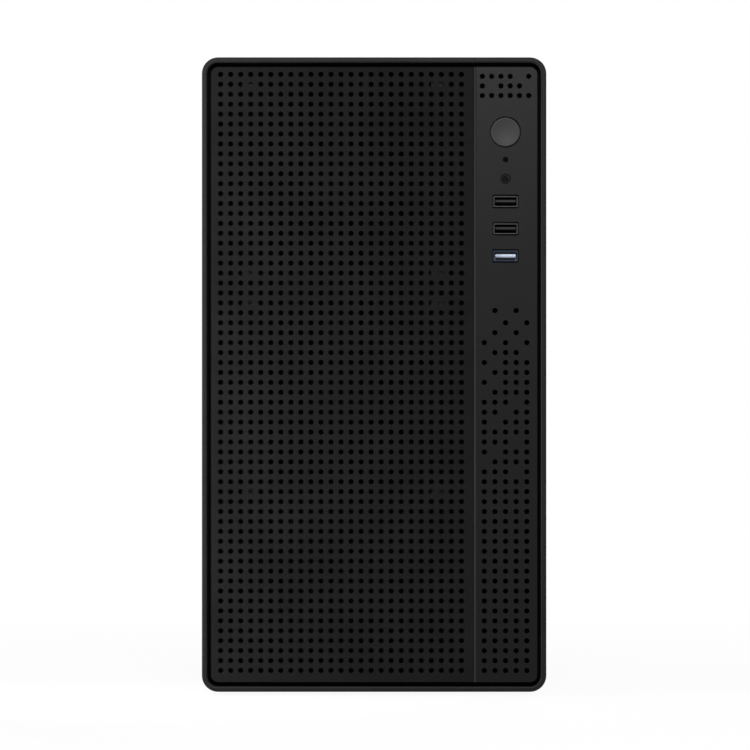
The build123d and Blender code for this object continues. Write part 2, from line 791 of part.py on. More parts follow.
with BuildPart() as floor_pan:
    slab((-X_FLANGE_OUT, X_FLANGE_OUT), (Y_INNER_FRONT, Y_REAR), (FOOT_H, Z_FLOOR))
    for side in (-1, 1):
        slab(to_side(side, X_FLANGE, X_FLANGE_OUT), flange_y, (Z_FLOOR, FOOT_H + FLANGE))
        slab(about(side * PSU_RAIL_X, PSU_RAIL_W), (Y_PSU + LAP, Y_INNER_REAR - 2 * LAP), (Z_FLOOR, Z_PSU))
    with BuildSketch(over(0, 0, FOOT_H)):
        with Locations(*foot_places):
            Circle(PEG_R + RIVET_CLEAR)
        with Locations((0, Y_PSU_FAN)):
            with GridLocations(VENT_SLOT_PITCH, VENT_SLOT_L + 2 * VENT_SLOT_W, FLOOR_VENT_SLOTS, 2):
                SlotOverall(VENT_SLOT_L, VENT_SLOT_W, rotation=90)
    extrude(amount=SHEET, mode=Mode.SUBTRACT)
    rivet_holes(FOOT_H)
keep(floor_pan.part, "floor_pan")

# Top panel: side flanges and a vent above the processor
with BuildPart() as top_panel:
    slab((-X_FLANGE_OUT, X_FLANGE_OUT), (Y_PLATE, Y_REAR), (Z_ROOF, Z_ROOF_OUT))
    for side in (-1, 1):
        slab(to_side(side, X_FLANGE, X_FLANGE_OUT), flange_y, (Z_ROOF_OUT - FLANGE, Z_ROOF))
    with BuildSketch(over(0, 0, Z_ROOF)):
        with Locations((0, Y_CPU)):
            with GridLocations(VENT_SLOT_L + 2 * VENT_SLOT_W, VENT_SLOT_PITCH, 3, ROOF_VENT_SLOTS):
                SlotOverall(VENT_SLOT_L, VENT_SLOT_W)
    extrude(amount=SHEET, mode=Mode.SUBTRACT)
    rivet_holes(Z_ROOF)
keep(top_panel.part, "top_panel")

# Front plate: fan openings, holes for the panel's posts, bosses for the strip's board, a low skirt
fan_zs = (FAN_LOW_Z, FAN_LOW_Z + FAN_PITCH)
io_mid = (io_low + io_high) / 2

with BuildPart() as front_plate:
    with BuildSketch(front(0, Y_PLATE, 0)):
        with Locations((0, (Z_SKIRT + Z_ROOF) / 2)):
            Rectangle(2 * X_FLANGE_OUT, Z_ROOF - Z_SKIRT)
        with Locations(*[(FAN_X, z) for z in fan_zs]):
            Circle(FAN_120 / 2 - 2 * FAN_RIM, mode=Mode.SUBTRACT)
            with GridLocations(FAN_HOLES_120, FAN_HOLES_120, 2, 2):
                Circle(FAN_HOLE_R, mode=Mode.SUBTRACT)
        with Locations(*clip_places):
            Rectangle(CLIP_W + 2 * CLIP_CLEAR, CLIP_H + 2 * CLIP_CLEAR, mode=Mode.SUBTRACT)
        with Locations((STRIP_MID, io_mid)):
            RectangleRounded(IO_BOARD_W / 2, IO_BOARD_W, BEND_R, mode=Mode.SUBTRACT)
    extrude(amount=-SHEET)
    with BuildSketch(front(0, Y_PLATE, 0)):
        with Locations(*io_screws):
            Circle(2 * SCREW_R)
            Circle(SCREW_R + RIVET_CLEAR, mode=Mode.SUBTRACT)
    extrude(amount=IO_STANDOFF)
    laps(Y_INNER_FRONT)
keep(front_plate.part, "front_plate")

# Rear panel: openings for the sockets, the cards, the fan and the power supply
slot_zs = [BOARD_TOP - SLOT_DROP - k * SLOT_PITCH for k in range(SLOT_COUNT)]
slot_high = X_BOARD - COVER_OVER
slot_low = slot_high - SLOT_L
cover_screw_x = slot_low - COVER_OVER - SCREW_HEAD_R
psu_screws = [(x, Z_PSU_MID + z) for x in (-PSU_SCREW_X, PSU_SCREW_X) for z in (-PSU_SCREW_Z, PSU_SCREW_Z)]
thumb_x = X_SKIN_OUT - REAR_FLANGE_W / 2 - SIDE_STEP
thumb_zs = (Z_PANEL - THUMB_RISE, Z_PANEL + THUMB_RISE)
fan_reach = FAN_92 / 2 - 2 * FAN_RIM - MESH_R
rear_fan_holes = [
    (REAR_FAN_X + x + (row % 2) * MESH_PITCH / 2, REAR_FAN_Z + z)
    for row, z in enumerate(span(MESH_ROWS, MESH_PITCH * sin(radians(60))))
    for x in span(MESH_ROWS, MESH_PITCH)
    if sqrt((x + (row % 2) * MESH_PITCH / 2) ** 2 + z**2) < fan_reach
]
notch_w = X_FLANGE_OUT - X_HOOK + SLIDE_GAP
notch_h = RUNNER_HOOK + 2 * SLIDE_GAP
runner_low = FOOT_H + FLANGE + SLIDE_GAP + SKIN
runner_high = Z_ROOF_OUT - FLANGE - SLIDE_GAP - SKIN

with BuildPart() as rear_panel:
    with BuildSketch(front(0, Y_INNER_REAR, 0)) as sheet:
        with Locations((0, (Z_FLOOR + Z_ROOF) / 2)):
            Rectangle(2 * X_FLANGE_OUT, Z_ROOF - Z_FLOOR)
        notch_zs = (runner_low + SLIDE_GAP - notch_h / 2, runner_high - SLIDE_GAP + notch_h / 2)
        with Locations(*[(side * (X_FLANGE_OUT - notch_w / 2), z) for side in (-1, 1) for z in notch_zs]):
            Rectangle(notch_w, notch_h, mode=Mode.SUBTRACT)
        with Locations(((X_IO_LOW + X_IO_HIGH) / 2, (Z_IO_LOW + Z_IO_HIGH) / 2)):
            Rectangle(IO_W, IO_H, mode=Mode.SUBTRACT)
        with Locations(*[((slot_low + slot_high) / 2, z) for z in slot_zs]):
            Rectangle(SLOT_L, SLOT_W, mode=Mode.SUBTRACT)
        with Locations((0, Z_PSU_MID)):
            Rectangle(PSU_W - 2 * PSU_FRAME, PSU_H - 2 * PSU_CORNER, mode=Mode.SUBTRACT)
            Rectangle(PSU_W - 2 * PSU_CORNER, PSU_H - 2 * PSU_FRAME, mode=Mode.SUBTRACT)
        pierce(sheet, MESH_R, rear_fan_holes)
        with Locations((REAR_FAN_X, REAR_FAN_Z)):
            with GridLocations(FAN_HOLES_92, FAN_HOLES_92, 2, 2):
                Circle(FAN_HOLE_R, mode=Mode.SUBTRACT)
        with Locations(*psu_screws, *[(cover_screw_x, z) for z in slot_zs]):
            Circle(SCREW_R + SCREW_CLEAR, mode=Mode.SUBTRACT)
        with Locations(*[(side * thumb_x, z) for side in (-1, 1) for z in thumb_zs]):
            Circle(THUMB_SHANK_R + THUMB_CLEAR, mode=Mode.SUBTRACT)
    extrude(amount=-SHEET)
    laps(Y_INNER_REAR - LAP)
keep(rear_panel.part, "rear_panel")

with BuildPart() as slot_covers:
    with BuildSketch(front(0, Y_INNER_REAR - SKIN, 0)):
        cover_low = cover_screw_x - COVER_OVER
        with Locations(*[((cover_low + slot_high + COVER_OVER / 2) / 2, z) for z in slot_zs]):
            Rectangle(slot_high + COVER_OVER / 2 - cover_low, COVER_W)
        with Locations(*[(cover_screw_x, z) for z in slot_zs]):
            Circle(SCREW_R + SCREW_CLEAR, mode=Mode.SUBTRACT)
    extrude(amount=-SKIN)
keep(slot_covers.part, "slot_covers")

# Motherboard tray, the hex standoffs on it, and the board
board_holes = [(Y_BOARD - row, BOARD_TOP - drop) for row in HOLE_ROWS for drop in HOLE_DROPS]

with BuildPart() as motherboard_tray:
    slab((TRAY_X, TRAY_X + SHEET), (Y_TRAY, Y_INNER_REAR), (Z_FLOOR, Z_ROOF))
    for low in (Z_FLOOR, Z_ROOF - SHEET):
        slab((TRAY_X + SHEET, TRAY_X + SHEET + LAP), (Y_TRAY, Y_INNER_REAR), (low, low + SHEET))
        rivet_holes(low)
    with BuildSketch(right(TRAY_X, 0, 0)):
        with Locations((Y_CPU, Z_CPU)):
            RectangleRounded(SINK_SIDE, SINK_SIDE, FAN_CORNER_R)
        with Locations(*[(Y_BOARD_FRONT - TRAY_HOLE_W, z) for z in (Z_BOARD, Z_CPU)]):
            RectangleRounded(TRAY_HOLE_W, 2 * TRAY_HOLE_W, FAN_CORNER_R)
    extrude(amount=SHEET, mode=Mode.SUBTRACT)
keep(motherboard_tray.part, "motherboard_tray")

with BuildPart() as board_standoffs:
    with BuildSketch(right(X_BOARD_BACK, 0, 0)):
        with Locations(*board_holes):
            RegularPolygon(STANDOFF_AF / 2, 6, major_radius=False)
            Circle(SCREW_R + RIVET_CLEAR, mode=Mode.SUBTRACT)
    extrude(amount=STANDOFF_H)
keep(board_standoffs.part, "board_standoffs")

with BuildPart() as motherboard:
    slab((X_BOARD, X_BOARD_BACK), (Y_BOARD_FRONT, Y_BOARD), (Z_BOARD, BOARD_TOP))
    with BuildSketch(right(X_BOARD, 0, 0)):
        with Locations(*board_holes):
            Circle(SCREW_R + SCREW_CLEAR)
    extrude(amount=BOARD_T, mode=Mode.SUBTRACT)
keep(motherboard.part, "motherboard")


def on_board(y, z, wide, tall, high):
    """A block of the current part that stands on the board, centred at a place on it."""
    slab((X_BOARD - high, X_BOARD), about(y, wide), about(z, tall))


# Capacitors, coils and chips soldered on the board
cap_places = [(Y_CPU + SINK_SIDE / 2 + 2 * CAP_R, Z_CPU + rise) for rise in span(CAP_COUNT, CAP_PITCH)]
cap_places += [(Y_CPU + rise, Z_CPU + SINK_SIDE / 2 + 2 * CAP_R) for rise in span(CAP_COUNT, CAP_PITCH)]
coil_places = [(y + COIL_SIDE + CAP_R, z) for y, z in cap_places[:CAP_COUNT]]
coil_places += [(y, z + COIL_SIDE + CAP_R) for y, z in cap_places[CAP_COUNT:]]
chip_places = [(Y_CPU + y, Z_BOARD + z) for y, z in CHIP_SPOTS]

with BuildPart() as board_parts:
    with BuildSketch(left(X_BOARD, 0, 0)):
        with Locations(*[(-y, z) for y, z in cap_places]):
            Circle(CAP_R)
    extrude(amount=CAP_H)
    for y, z in coil_places:
        on_board(y, z, COIL_SIDE, COIL_SIDE, COIL_H)
    for y, z in chip_places:
        on_board(y, z, CHIP_SIDE, CHIP_SIDE, CHIP_H)
keep(board_parts.part, "board_parts")

# Sockets for the processor, memory, cards, power and drives
ram_ys = [Y_BOARD - RAM_IN - k * RAM_PITCH for k in range(RAM_COUNT)]
card_y = Y_BOARD - CARD_IN
atx_y = Y_BOARD_FRONT + ATX_W / 2 + SOCKET_EDGE
eps_z = BOARD_TOP - EPS_W / 2 - SOCKET_EDGE
eps_y = ram_ys[-1] - EPS_L
sata_y = atx_y
header_z = Z_BOARD + SOCKET_EDGE + HEADER_W / 2

with BuildPart() as board_connectors:
    for y in ram_ys:
        on_board(y, Z_CPU, RAM_SLOT_W, RAM_L + 2 * RAM_SLOT_W, RAM_SLOT_H)
        groove = (X_BOARD - RAM_SLOT_H, X_BOARD - RAM_SLOT_H + RAM_SEAT + FIT)
        slab(groove, about(y, RAM_T + 2 * FIT), about(Z_CPU, RAM_L + 2 * FIT), Mode.SUBTRACT)
    for z, length in ((slot_zs[1], CARD_LONG), (slot_zs[3], CARD_SHORT)):
        on_board(card_y - length / 2, z, length, CARD_W, CARD_H)
        groove = (X_BOARD - CARD_H, X_BOARD - CARD_H / 2)
        slab(groove, about(card_y - length / 2, length - 4 * SHEET), about(z, 2 * SHEET), Mode.SUBTRACT)
    on_board(Y_CPU, Z_CPU, SOCKET_SIDE, SOCKET_SIDE, SOCKET_H)
    on_board(atx_y, ATX_Z, ATX_W, ATX_L, PLUG_H)
    on_board(eps_y, eps_z, EPS_L, EPS_W, PLUG_H)
    on_board(sata_y, SATA_Z, SATA_W, SATA_L, SATA_H)
    on_board(HEADER_Y, header_z, HEADER_L, HEADER_W, SATA_H)
keep(board_connectors.part, "board_connectors")

with BuildPart() as memory_modules:
    for y in ram_ys:
        foot = X_BOARD - RAM_SLOT_H + RAM_SEAT
        slab((foot - RAM_H, foot), about(y, RAM_T), about(Z_CPU, RAM_L))
        chip_x = (foot - RAM_H + RAM_SEAT, X_BOARD - RAM_SLOT_H - 2 * RAM_SEAT)
        for rise in span(RAM_CHIPS, RAM_L / RAM_CHIPS):
            slab(chip_x, about(y, RAM_T + 2 * RAM_CHIP), about(Z_CPU + rise, RAM_CHIP_L))
keep(memory_modules.part, "memory_modules")

# Processor and its cooler
fin_pitch = (SINK_SIDE - SINK_FIN_T) / (SINK_FINS - 1)
x_plate = X_CPU - SINK_BASE
x_fins = x_plate - SINK_PLATE

with BuildPart() as cpu:
    slab((X_CPU, X_SOCKET), about(Y_CPU, CPU_SIDE), about(Z_CPU, CPU_SIDE))
keep(cpu.part, "cpu")

with BuildPart() as cpu_heatsink:
    core = CPU_SIDE + 2 * SHEET
    slab((x_plate, X_CPU), about(Y_CPU, core), about(Z_CPU, core))
    with BuildSketch(over(0, 0, Z_CPU - SINK_SIDE / 2)):
        with Locations(((x_fins + x_plate) / 2, Y_CPU)):
            Rectangle(SINK_PLATE, SINK_SIDE)
        with Locations(*[((X_SINK + x_plate) / 2, Y_CPU + y) for y in span(SINK_FINS, fin_pitch)]):
            Rectangle(x_plate - X_SINK, SINK_FIN_T)
    extrude(amount=SINK_SIDE)
    with BuildSketch(right(x_plate, Y_CPU, Z_CPU)):
        with GridLocations(COOLER_POST_SPAN, COOLER_POST_SPAN, 2, 2):
            Circle(COOLER_POST_R)
    extrude(amount=X_BOARD - x_plate)
keep(cpu_heatsink.part, "cpu_heatsink")

with BuildPart() as chipset_heatsink:
    fin_pitch = (CHIPSET_SIDE - SHEET) / (CHIPSET_FINS - 1)
    with BuildSketch(over(0, 0, CHIPSET_Z - CHIPSET_SIDE / 2)):
        with Locations((X_BOARD - SINK_PLATE / 2, CHIPSET_Y)):
            Rectangle(SINK_PLATE, CHIPSET_SIDE)
        with Locations(*[(X_BOARD - CHIPSET_H / 2, CHIPSET_Y + y) for y in span(CHIPSET_FINS, fin_pitch)]):
            Rectangle(CHIPSET_H, SHEET)
    extrude(amount=CHIPSET_SIDE)
keep(chipset_heatsink.part, "chipset_heatsink")

# Sockets at the back of the board and the shield round them
port_y = (Y_REAR - PORT_D, Y_REAR + PORT_PROUD)
stack_zs = [Z_IO_HIGH - drop for drop in STACK_DROPS]
lan_z = Z_IO_HIGH - LAN_DROP
video_z = Z_IO_HIGH - VIDEO_DROP
audio_z = Z_IO_HIGH - AUDIO_DROP
audio_xs = [X_BOARD - AUDIO_W / 2 - k * AUDIO_PITCH for k in range(AUDIO_COUNT)]
port_blocks = [(z, STACK_W, STACK_H) for z in stack_zs]
port_blocks += [(lan_z, LAN_W, LAN_H), (video_z, VIDEO_W, VIDEO_H)]

with BuildPart() as rear_ports:
    for z, width, height in port_blocks:
        slab((X_BOARD - height, X_BOARD), port_y, about(z, width))
    mouth = (port_y[1] - PORT_DEPTH, port_y[1])
    tongue_y = (mouth[0], mouth[1] - USB_TONGUE_BACK)
    for z in stack_zs:
        for x in (X_BOARD - STACK_H / 4 - USB_SHELL, X_BOARD - 3 * STACK_H / 4 + USB_SHELL):
            room = about(x, USB_H - 2 * USB_SHELL)
            slab(room, mouth, about(z, USB_W - 2 * USB_SHELL), Mode.SUBTRACT)
            slab(about(x, USB_TONGUE_H), tongue_y, about(z, USB_TONGUE_W))
    lan_x = (X_BOARD - LAN_H + SHEET, X_BOARD - LAN_H + SHEET + LAN_ROOM_H)
    slab(lan_x, mouth, about(lan_z, LAN_ROOM_W), Mode.SUBTRACT)
    slab((lan_x[1], lan_x[1] + LAN_LATCH), mouth, about(lan_z, LAN_ROOM_W / 2), Mode.SUBTRACT)
    video_x = X_BOARD - VIDEO_H / 2
    slab(about(video_x, VIDEO_H - 2 * SHEET), mouth, about(video_z, VIDEO_W - 2 * SHEET), Mode.SUBTRACT)
    slab(about(video_x, SHEET), tongue_y, about(video_z, VIDEO_W - 4 * SHEET))
keep(rear_ports.part, "rear_ports")

with BuildPart() as rear_audio_jacks:
    slab(
        (audio_xs[-1] - AUDIO_W / 2, X_BOARD),
        (port_y[0], Y_INNER_REAR - SHIELD_T - FIT),
        (audio_z - AUDIO_W / 2, audio_z + AUDIO_W / 2),
    )
    with BuildSketch(back(0, port_y[0], audio_z)):
        with Locations(*[(-x, 0) for x in audio_xs]):
            Circle(AUDIO_NOSE_R)
    extrude(amount=port_y[1] - port_y[0])
    with BuildSketch(back(0, port_y[1], audio_z)):
        with Locations(*[(-x, 0) for x in audio_xs]):
            Circle(JACK_BORE_R)
    extrude(amount=-PORT_DEPTH, mode=Mode.SUBTRACT)
keep(rear_audio_jacks.part, "rear_audio_jacks")

with BuildPart() as io_shield:
    for y, grow in ((Y_INNER_REAR - SHIELD_T, SHIELD_LIP), (Y_INNER_REAR, -FIT)):
        slab((X_IO_LOW - grow, X_IO_HIGH + grow), (y, y + SHIELD_T), (Z_IO_LOW - grow, Z_IO_HIGH + grow))
    cut_y = (Y_INNER_REAR - SHIELD_T, Y_REAR)
    for z, width, height in port_blocks:
        slab(
            (X_BOARD - height - PORT_GAP, X_BOARD + PORT_GAP),
            cut_y,
            about(z, width + 2 * PORT_GAP),
            Mode.SUBTRACT,
        )
    with BuildSketch(back(0, Y_REAR, audio_z)):
        with Locations(*[(-x, 0) for x in audio_xs]):
            Circle(AUDIO_NOSE_R + PORT_GAP)
    extrude(amount=-(Y_REAR - cut_y[0]), mode=Mode.SUBTRACT)
keep(io_shield.part, "io_shield")


def fan_frame(plane, size, hole_span):
    """A fan's frame: its open side is on the plane, and its arms and bearing are at the far side."""
    far = Plane(plane.location * Location((0, 0, -FAN_T)))
    with BuildPart() as frame:
        with BuildSketch(far):
            RectangleRounded(size, size, FAN_CORNER_R)
            Circle(size / 2 - FAN_RIM, mode=Mode.SUBTRACT)
            with GridLocations(hole_span, hole_span, 2, 2):
                Circle(FAN_HOLE_R, mode=Mode.SUBTRACT)
        extrude(amount=FAN_T)
        with BuildSketch(far):
            Circle(FAN_HUB_R)
            for turn in (45, 135):
                Rectangle(size - FAN_RIM, FAN_ARM_W, rotation=turn)
        extrude(amount=FAN_ARM_T)
        with BuildSketch(far):
            Circle(BEARING_R)
        extrude(amount=FAN_T - FAN_ARM_T - BEARING_GAP)
    return frame.part


def fan_rotor(plane, size):
    """A fan's hub and blades, on the bearing of its frame."""
    hub_low = -FAN_T + FAN_ARM_T + BEARING_GAP
    hub_high = -FAN_ARM_T / 2
    tip_r = size / 2 - FAN_RIM - FAN_TIP_GAP
    tip_chord = BLADE_COVER * 2 * pi * tip_r / BLADES / sin(radians(BLADE_TIP_TWIST))
    bearing_top = -FAN_ARM_T - BEARING_GAP
    mid = (hub_low + hub_high) / 2
    sections = (
        (FAN_HUB_R - BLADE_T, BLADE_ROOT, BLADE_ROOT_TWIST),
        (size / 2, tip_chord, BLADE_TIP_TWIST),
    )
    low_plane = Plane(plane.location * Location((0, 0, hub_low)))
    with BuildPart() as rotor:
        for k in range(BLADES):
            spoke = plane.location * Location((0, 0, mid), (0, 0, 360 / BLADES * k))
            for reach, chord, twist in sections:
                with BuildSketch(Plane(spoke * Location((reach, 0, 0), (0, 90, 0)))):
                    Rectangle(chord, BLADE_T, rotation=twist)
            loft(ruled=True)
        with BuildSketch(low_plane):
            Circle(tip_r)
        extrude(amount=hub_high - hub_low, mode=Mode.INTERSECT)
        with BuildSketch(low_plane):
            Circle(FAN_HUB_R)
        extrude(amount=hub_high - hub_low)
        with BuildSketch(low_plane):
            Circle(BEARING_R + BEARING_GAP)
        extrude(amount=bearing_top + BEARING_GAP - hub_low, mode=Mode.SUBTRACT)
    return rotor.part


fans = {
    "front_fan_lower": (front(FAN_X, Y_INNER_FRONT, fan_zs[0]), FAN_120, FAN_HOLES_120),
    "front_fan_upper": (front(FAN_X, Y_INNER_FRONT, fan_zs[1]), FAN_120, FAN_HOLES_120),
    "rear_fan": (front(REAR_FAN_X, Y_INNER_REAR - FAN_T, REAR_FAN_Z), FAN_92, FAN_HOLES_92),
    "cpu_fan": (left(X_SINK - FAN_T, Y_CPU, Z_CPU), FAN_92, FAN_HOLES_92),
    "psu_fan": (under(0, Y_PSU_FAN, Z_PSU + PSU_WALL), FAN_120, FAN_HOLES_120),
}
frames = {}
for fan, (plane, size, hole_span) in fans.items():
    frames[fan] = fan_frame(plane, size, hole_span)
    keep(fan_rotor(plane, size), f"{fan}_rotor")
for fan in ("rear_fan", "cpu_fan", "psu_fan"):
    keep(frames[fan], f"{fan}_frame")

with BuildPart() as front_fan_frames:
    add(frames["front_fan_lower"])
    add(frames["front_fan_upper"])
keep(front_fan_frames.part, "front_fan_frames")

# Power supply: case, fan guard, inlet and rocker switch
psu_cables = {
    "atx": (ATX_X, PSU_OUT_Z, ATX_R),
    "eps": (EPS_X, PSU_OUT_Z, EPS_R),
    "drive": (DRIVE_CABLE_X, DRIVE_CABLE_Z, DRIVE_R),
}
psu_vents = [
    (PSU_VENT_X + x, z)
    for x in span(PSU_VENT_COLUMNS, MESH_PITCH)
    for z in span(PSU_VENT_ROWS, MESH_PITCH)
]
frame_x = ROCKER_W / 2 + ROCKER_GAP + ROCKER_WALL
frame_z = ROCKER_H / 2 + ROCKER_GAP + ROCKER_WALL
y_pivot = Y_INNER_REAR - ROCKER_DEPTH / 3

with BuildPart() as psu_case:
    slab(about(0, PSU_W), (Y_PSU, Y_INNER_REAR), (Z_PSU, Z_PSU_TOP))
    hollow_x = about(0, PSU_W - 2 * PSU_WALL)
    hollow_z = about(Z_PSU_MID, PSU_H - 2 * PSU_WALL)
    slab(hollow_x, (Y_PSU + PSU_WALL, Y_INNER_REAR), hollow_z, Mode.SUBTRACT)
    with BuildSketch(front(0, Y_INNER_REAR - PSU_WALL, Z_PSU_MID)) as sheet:
        Rectangle(PSU_W - 2 * PSU_WALL, PSU_H - 2 * PSU_WALL)
        pierce(sheet, MESH_R, psu_vents)
        with Locations((INLET_X, 0)):
            Rectangle(INLET_W, INLET_H, mode=Mode.SUBTRACT)
        with Locations((ROCKER_X, 0)):
            Rectangle(2 * frame_x, 2 * frame_z, mode=Mode.SUBTRACT)
        with Locations(*[(x, z - Z_PSU_MID) for x, z in psu_screws]):
            Circle(SCREW_R + RIVET_CLEAR, mode=Mode.SUBTRACT)
    extrude(amount=-PSU_WALL)
    with BuildSketch(over(0, Y_PSU_FAN, Z_PSU)):
        Circle(FAN_120 / 2 - 2 * FAN_RIM)
        with GridLocations(FAN_HOLES_120, FAN_HOLES_120, 2, 2):
            Circle(FAN_HOLE_R)
    extrude(amount=PSU_WALL, mode=Mode.SUBTRACT)
    with BuildSketch(front(0, Y_PSU, 0)):
        for x, z, radius in psu_cables.values():
            with Locations((x, z)):
                Circle(radius + RIVET_CLEAR)
    extrude(amount=-PSU_WALL, mode=Mode.SUBTRACT)
keep(psu_case.part, "psu_case")

with BuildPart() as psu_fan_guard:
    with BuildSketch(under(0, Y_PSU_FAN, Z_PSU)):
        for k in range(1, GUARD_RINGS + 1):
            radius = k * (FAN_120 / 2 - FAN_RIM) / GUARD_RINGS
            with BuildSketch(mode=Mode.PRIVATE) as ring:
                Circle(radius)
                Circle(radius - GUARD_T, mode=Mode.SUBTRACT)
            add(ring.sketch)
        for turn in (45, 135):
            Rectangle(FAN_HOLES_120 * sqrt(2), GUARD_T, rotation=turn)
        with GridLocations(FAN_HOLES_120, FAN_HOLES_120, 2, 2):
            Circle(2 * FAN_HOLE_R)
            Circle(FAN_HOLE_R, mode=Mode.SUBTRACT)
    extrude(amount=GUARD_T)
keep(psu_fan_guard.part, "psu_fan_guard")

y_inlet = Y_INNER_REAR + INLET_FLANGE
inlet_body_y = (Y_INNER_REAR - INLET_DEPTH, Y_INNER_REAR)
inlet_hole_y = (y_inlet - INLET_HOLE_D, y_inlet)
flange = 2 * INLET_FLANGE

with BuildPart() as psu_inlet:
    slab(about(INLET_X, INLET_W - 2 * FIT), inlet_body_y, about(Z_PSU_MID, INLET_H - 2 * FIT))
    slab(about(INLET_X, INLET_W + flange), (Y_INNER_REAR, y_inlet), about(Z_PSU_MID, INLET_H + flange))
    slab(about(INLET_X, INLET_HOLE_W), inlet_hole_y, about(Z_PSU_MID, INLET_HOLE_H), Mode.SUBTRACT)

with BuildPart() as psu_inlet_pins:
    with BuildSketch(back(INLET_X, y_inlet - INLET_HOLE_D, Z_PSU_MID)):
        with Locations((-INLET_PIN_X, -INLET_PIN_Z), (INLET_PIN_X, -INLET_PIN_Z), (0, INLET_PIN_Z)):
            Rectangle(INLET_PIN_T, INLET_PIN_W)
    extrude(amount=INLET_PIN_L)
keep(psu_inlet_pins.part, "psu_inlet_pins")

with BuildPart() as psu_sockets:
    add(psu_inlet.part)
    y_face = Y_INNER_REAR + ROCKER_WALL
    y_room = y_pivot - ROCKER_DEPTH
    for grow, y_pair, mode in (
        (ROCKER_WALL - FIT, (y_room - ROCKER_WALL, Y_INNER_REAR), Mode.ADD),
        (2 * ROCKER_WALL, (Y_INNER_REAR, y_face), Mode.ADD),
        (0, (y_room, y_face), Mode.SUBTRACT),
    ):
        room = ROCKER_GAP + grow
        slab(about(ROCKER_X, ROCKER_W + 2 * room), y_pair, about(Z_PSU_MID, ROCKER_H + 2 * room), mode)
    with BuildSketch(right(ROCKER_X - frame_x, y_pivot, Z_PSU_MID)):
        Circle(ROCKER_PIN_R + BEARING_GAP)
    extrude(amount=2 * frame_x, mode=Mode.SUBTRACT)
keep(psu_sockets.part, "psu_sockets")

# The rocker stands tipped to one side, its rest
rocker_edge = ROCKER_DEPTH / 4
rocker_outline = [
    (rocker_edge, -ROCKER_H / 2),
    (2 * rocker_edge, 0),
    (rocker_edge, ROCKER_H / 2),
    (-ROCKER_BACK, ROCKER_FOOT / 2),
    (-ROCKER_BACK, -ROCKER_FOOT / 2),
]
tip_cos = cos(radians(ROCKER_TILT))
tip_sin = sin(radians(ROCKER_TILT))
with BuildPart() as psu_rocker:
    with BuildSketch(right(ROCKER_X - ROCKER_W / 2, y_pivot, Z_PSU_MID)):
        tipped = [(y * tip_cos - z * tip_sin, y * tip_sin + z * tip_cos) for y, z in rocker_outline]
        Polygon(*tipped, align=None)
    extrude(amount=ROCKER_W)
    with BuildSketch(right(ROCKER_X - frame_x + FIT, y_pivot, Z_PSU_MID)):
        Circle(ROCKER_PIN_R)
    extrude(amount=2 * (frame_x - FIT))
keep(psu_rocker.part, "psu_rocker")

# Drive on its cage
drive_low = DRIVE_X - DRIVE_W / 2
drive_high = DRIVE_X + DRIVE_W / 2
drive_screw_z = Z_DRIVE + DRIVE_SCREW_RISE
drive_screw_ys = [Y_DRIVE + along for along in DRIVE_SCREW_YS]

with BuildPart() as drive_cage:
    wall_y = (Y_DRIVE - SHEET, Y_DRIVE + DRIVE_L)
    slab((drive_low - FIT - SHEET, drive_high + FIT + SHEET), wall_y, (Z_FLOOR, Z_FLOOR + SHEET))
    for x in (drive_low - FIT - SHEET, drive_high + FIT):
        slab((x, x + SHEET), wall_y, (Z_FLOOR, Z_FLOOR + CAGE_H))
    with BuildSketch(right(drive_low - FIT - SHEET, 0, 0)):
        with Locations(*[(y, drive_screw_z) for y in drive_screw_ys]):
            Circle(SCREW_R + SCREW_CLEAR)
    extrude(amount=DRIVE_W + 2 * (FIT + SHEET), mode=Mode.SUBTRACT)
keep(drive_cage.part, "drive_cage")

with BuildPart() as hard_drive:
    slab((drive_low, drive_high), (Y_DRIVE, Y_DRIVE + DRIVE_L), (Z_DRIVE, Z_DRIVE + DRIVE_H))
    fillet(hard_drive.edges().filter_by(Axis.Z), BEND_R)
    with BuildSketch(over(DRIVE_X, Y_DRIVE + DRIVE_L / 2, Z_DRIVE + DRIVE_H)):
        RectangleRounded(DRIVE_W - 4 * BEND_R, DRIVE_L - 4 * BEND_R, 2 * BEND_R)
        RectangleRounded(DRIVE_W - 5 * BEND_R, DRIVE_L - 5 * BEND_R, 2 * BEND_R, mode=Mode.SUBTRACT)
    extrude(amount=-SHEET, mode=Mode.SUBTRACT)
    for plane in (right(drive_low, 0, 0), right(drive_high - SCREW_L, 0, 0)):
        with BuildSketch(plane):
            with Locations(*[(y, drive_screw_z) for y in drive_screw_ys]):
                Circle(SCREW_R + RIVET_CLEAR)
        extrude(amount=SCREW_L, mode=Mode.SUBTRACT)
keep(hard_drive.part, "hard_drive")


def screws(places, radius, length):
    """Pan-head screws: each has its head on its plane and its shank behind it."""
    with BuildPart(*places) as group:
        Cylinder(2 * radius, SCREW_HEAD_H, align=(Align.CENTER, Align.CENTER, Align.MIN))
        Cylinder(radius, length, align=(Align.CENTER, Align.CENTER, Align.MAX))
        with Locations((0, 0, SCREW_HEAD_H)):
            Box(2 * radius, radius / 2, SCREW_HEAD_H, mode=Mode.SUBTRACT)
            Box(radius / 2, 2 * radius, SCREW_HEAD_H, mode=Mode.SUBTRACT)
    return group.part


def corners(span_xy):
    """The four corners of a centred square."""
    return [(x, y) for x in (-span_xy / 2, span_xy / 2) for y in (-span_xy / 2, span_xy / 2)]


small_screws = [back(x, Y_REAR, z) for x, z in psu_screws]
small_screws += [back(cover_screw_x, Y_REAR, z) for z in slot_zs]
small_screws += [left(X_BOARD, y, z) for y, z in board_holes]
small_screws += [front(x, Y_IO_BOARD, z) for x, z in io_screws]
small_screws += [left(drive_low - FIT - SHEET, y, drive_screw_z) for y in drive_screw_ys]
small_screws += [right(drive_high + FIT + SHEET, y, drive_screw_z) for y in drive_screw_ys]

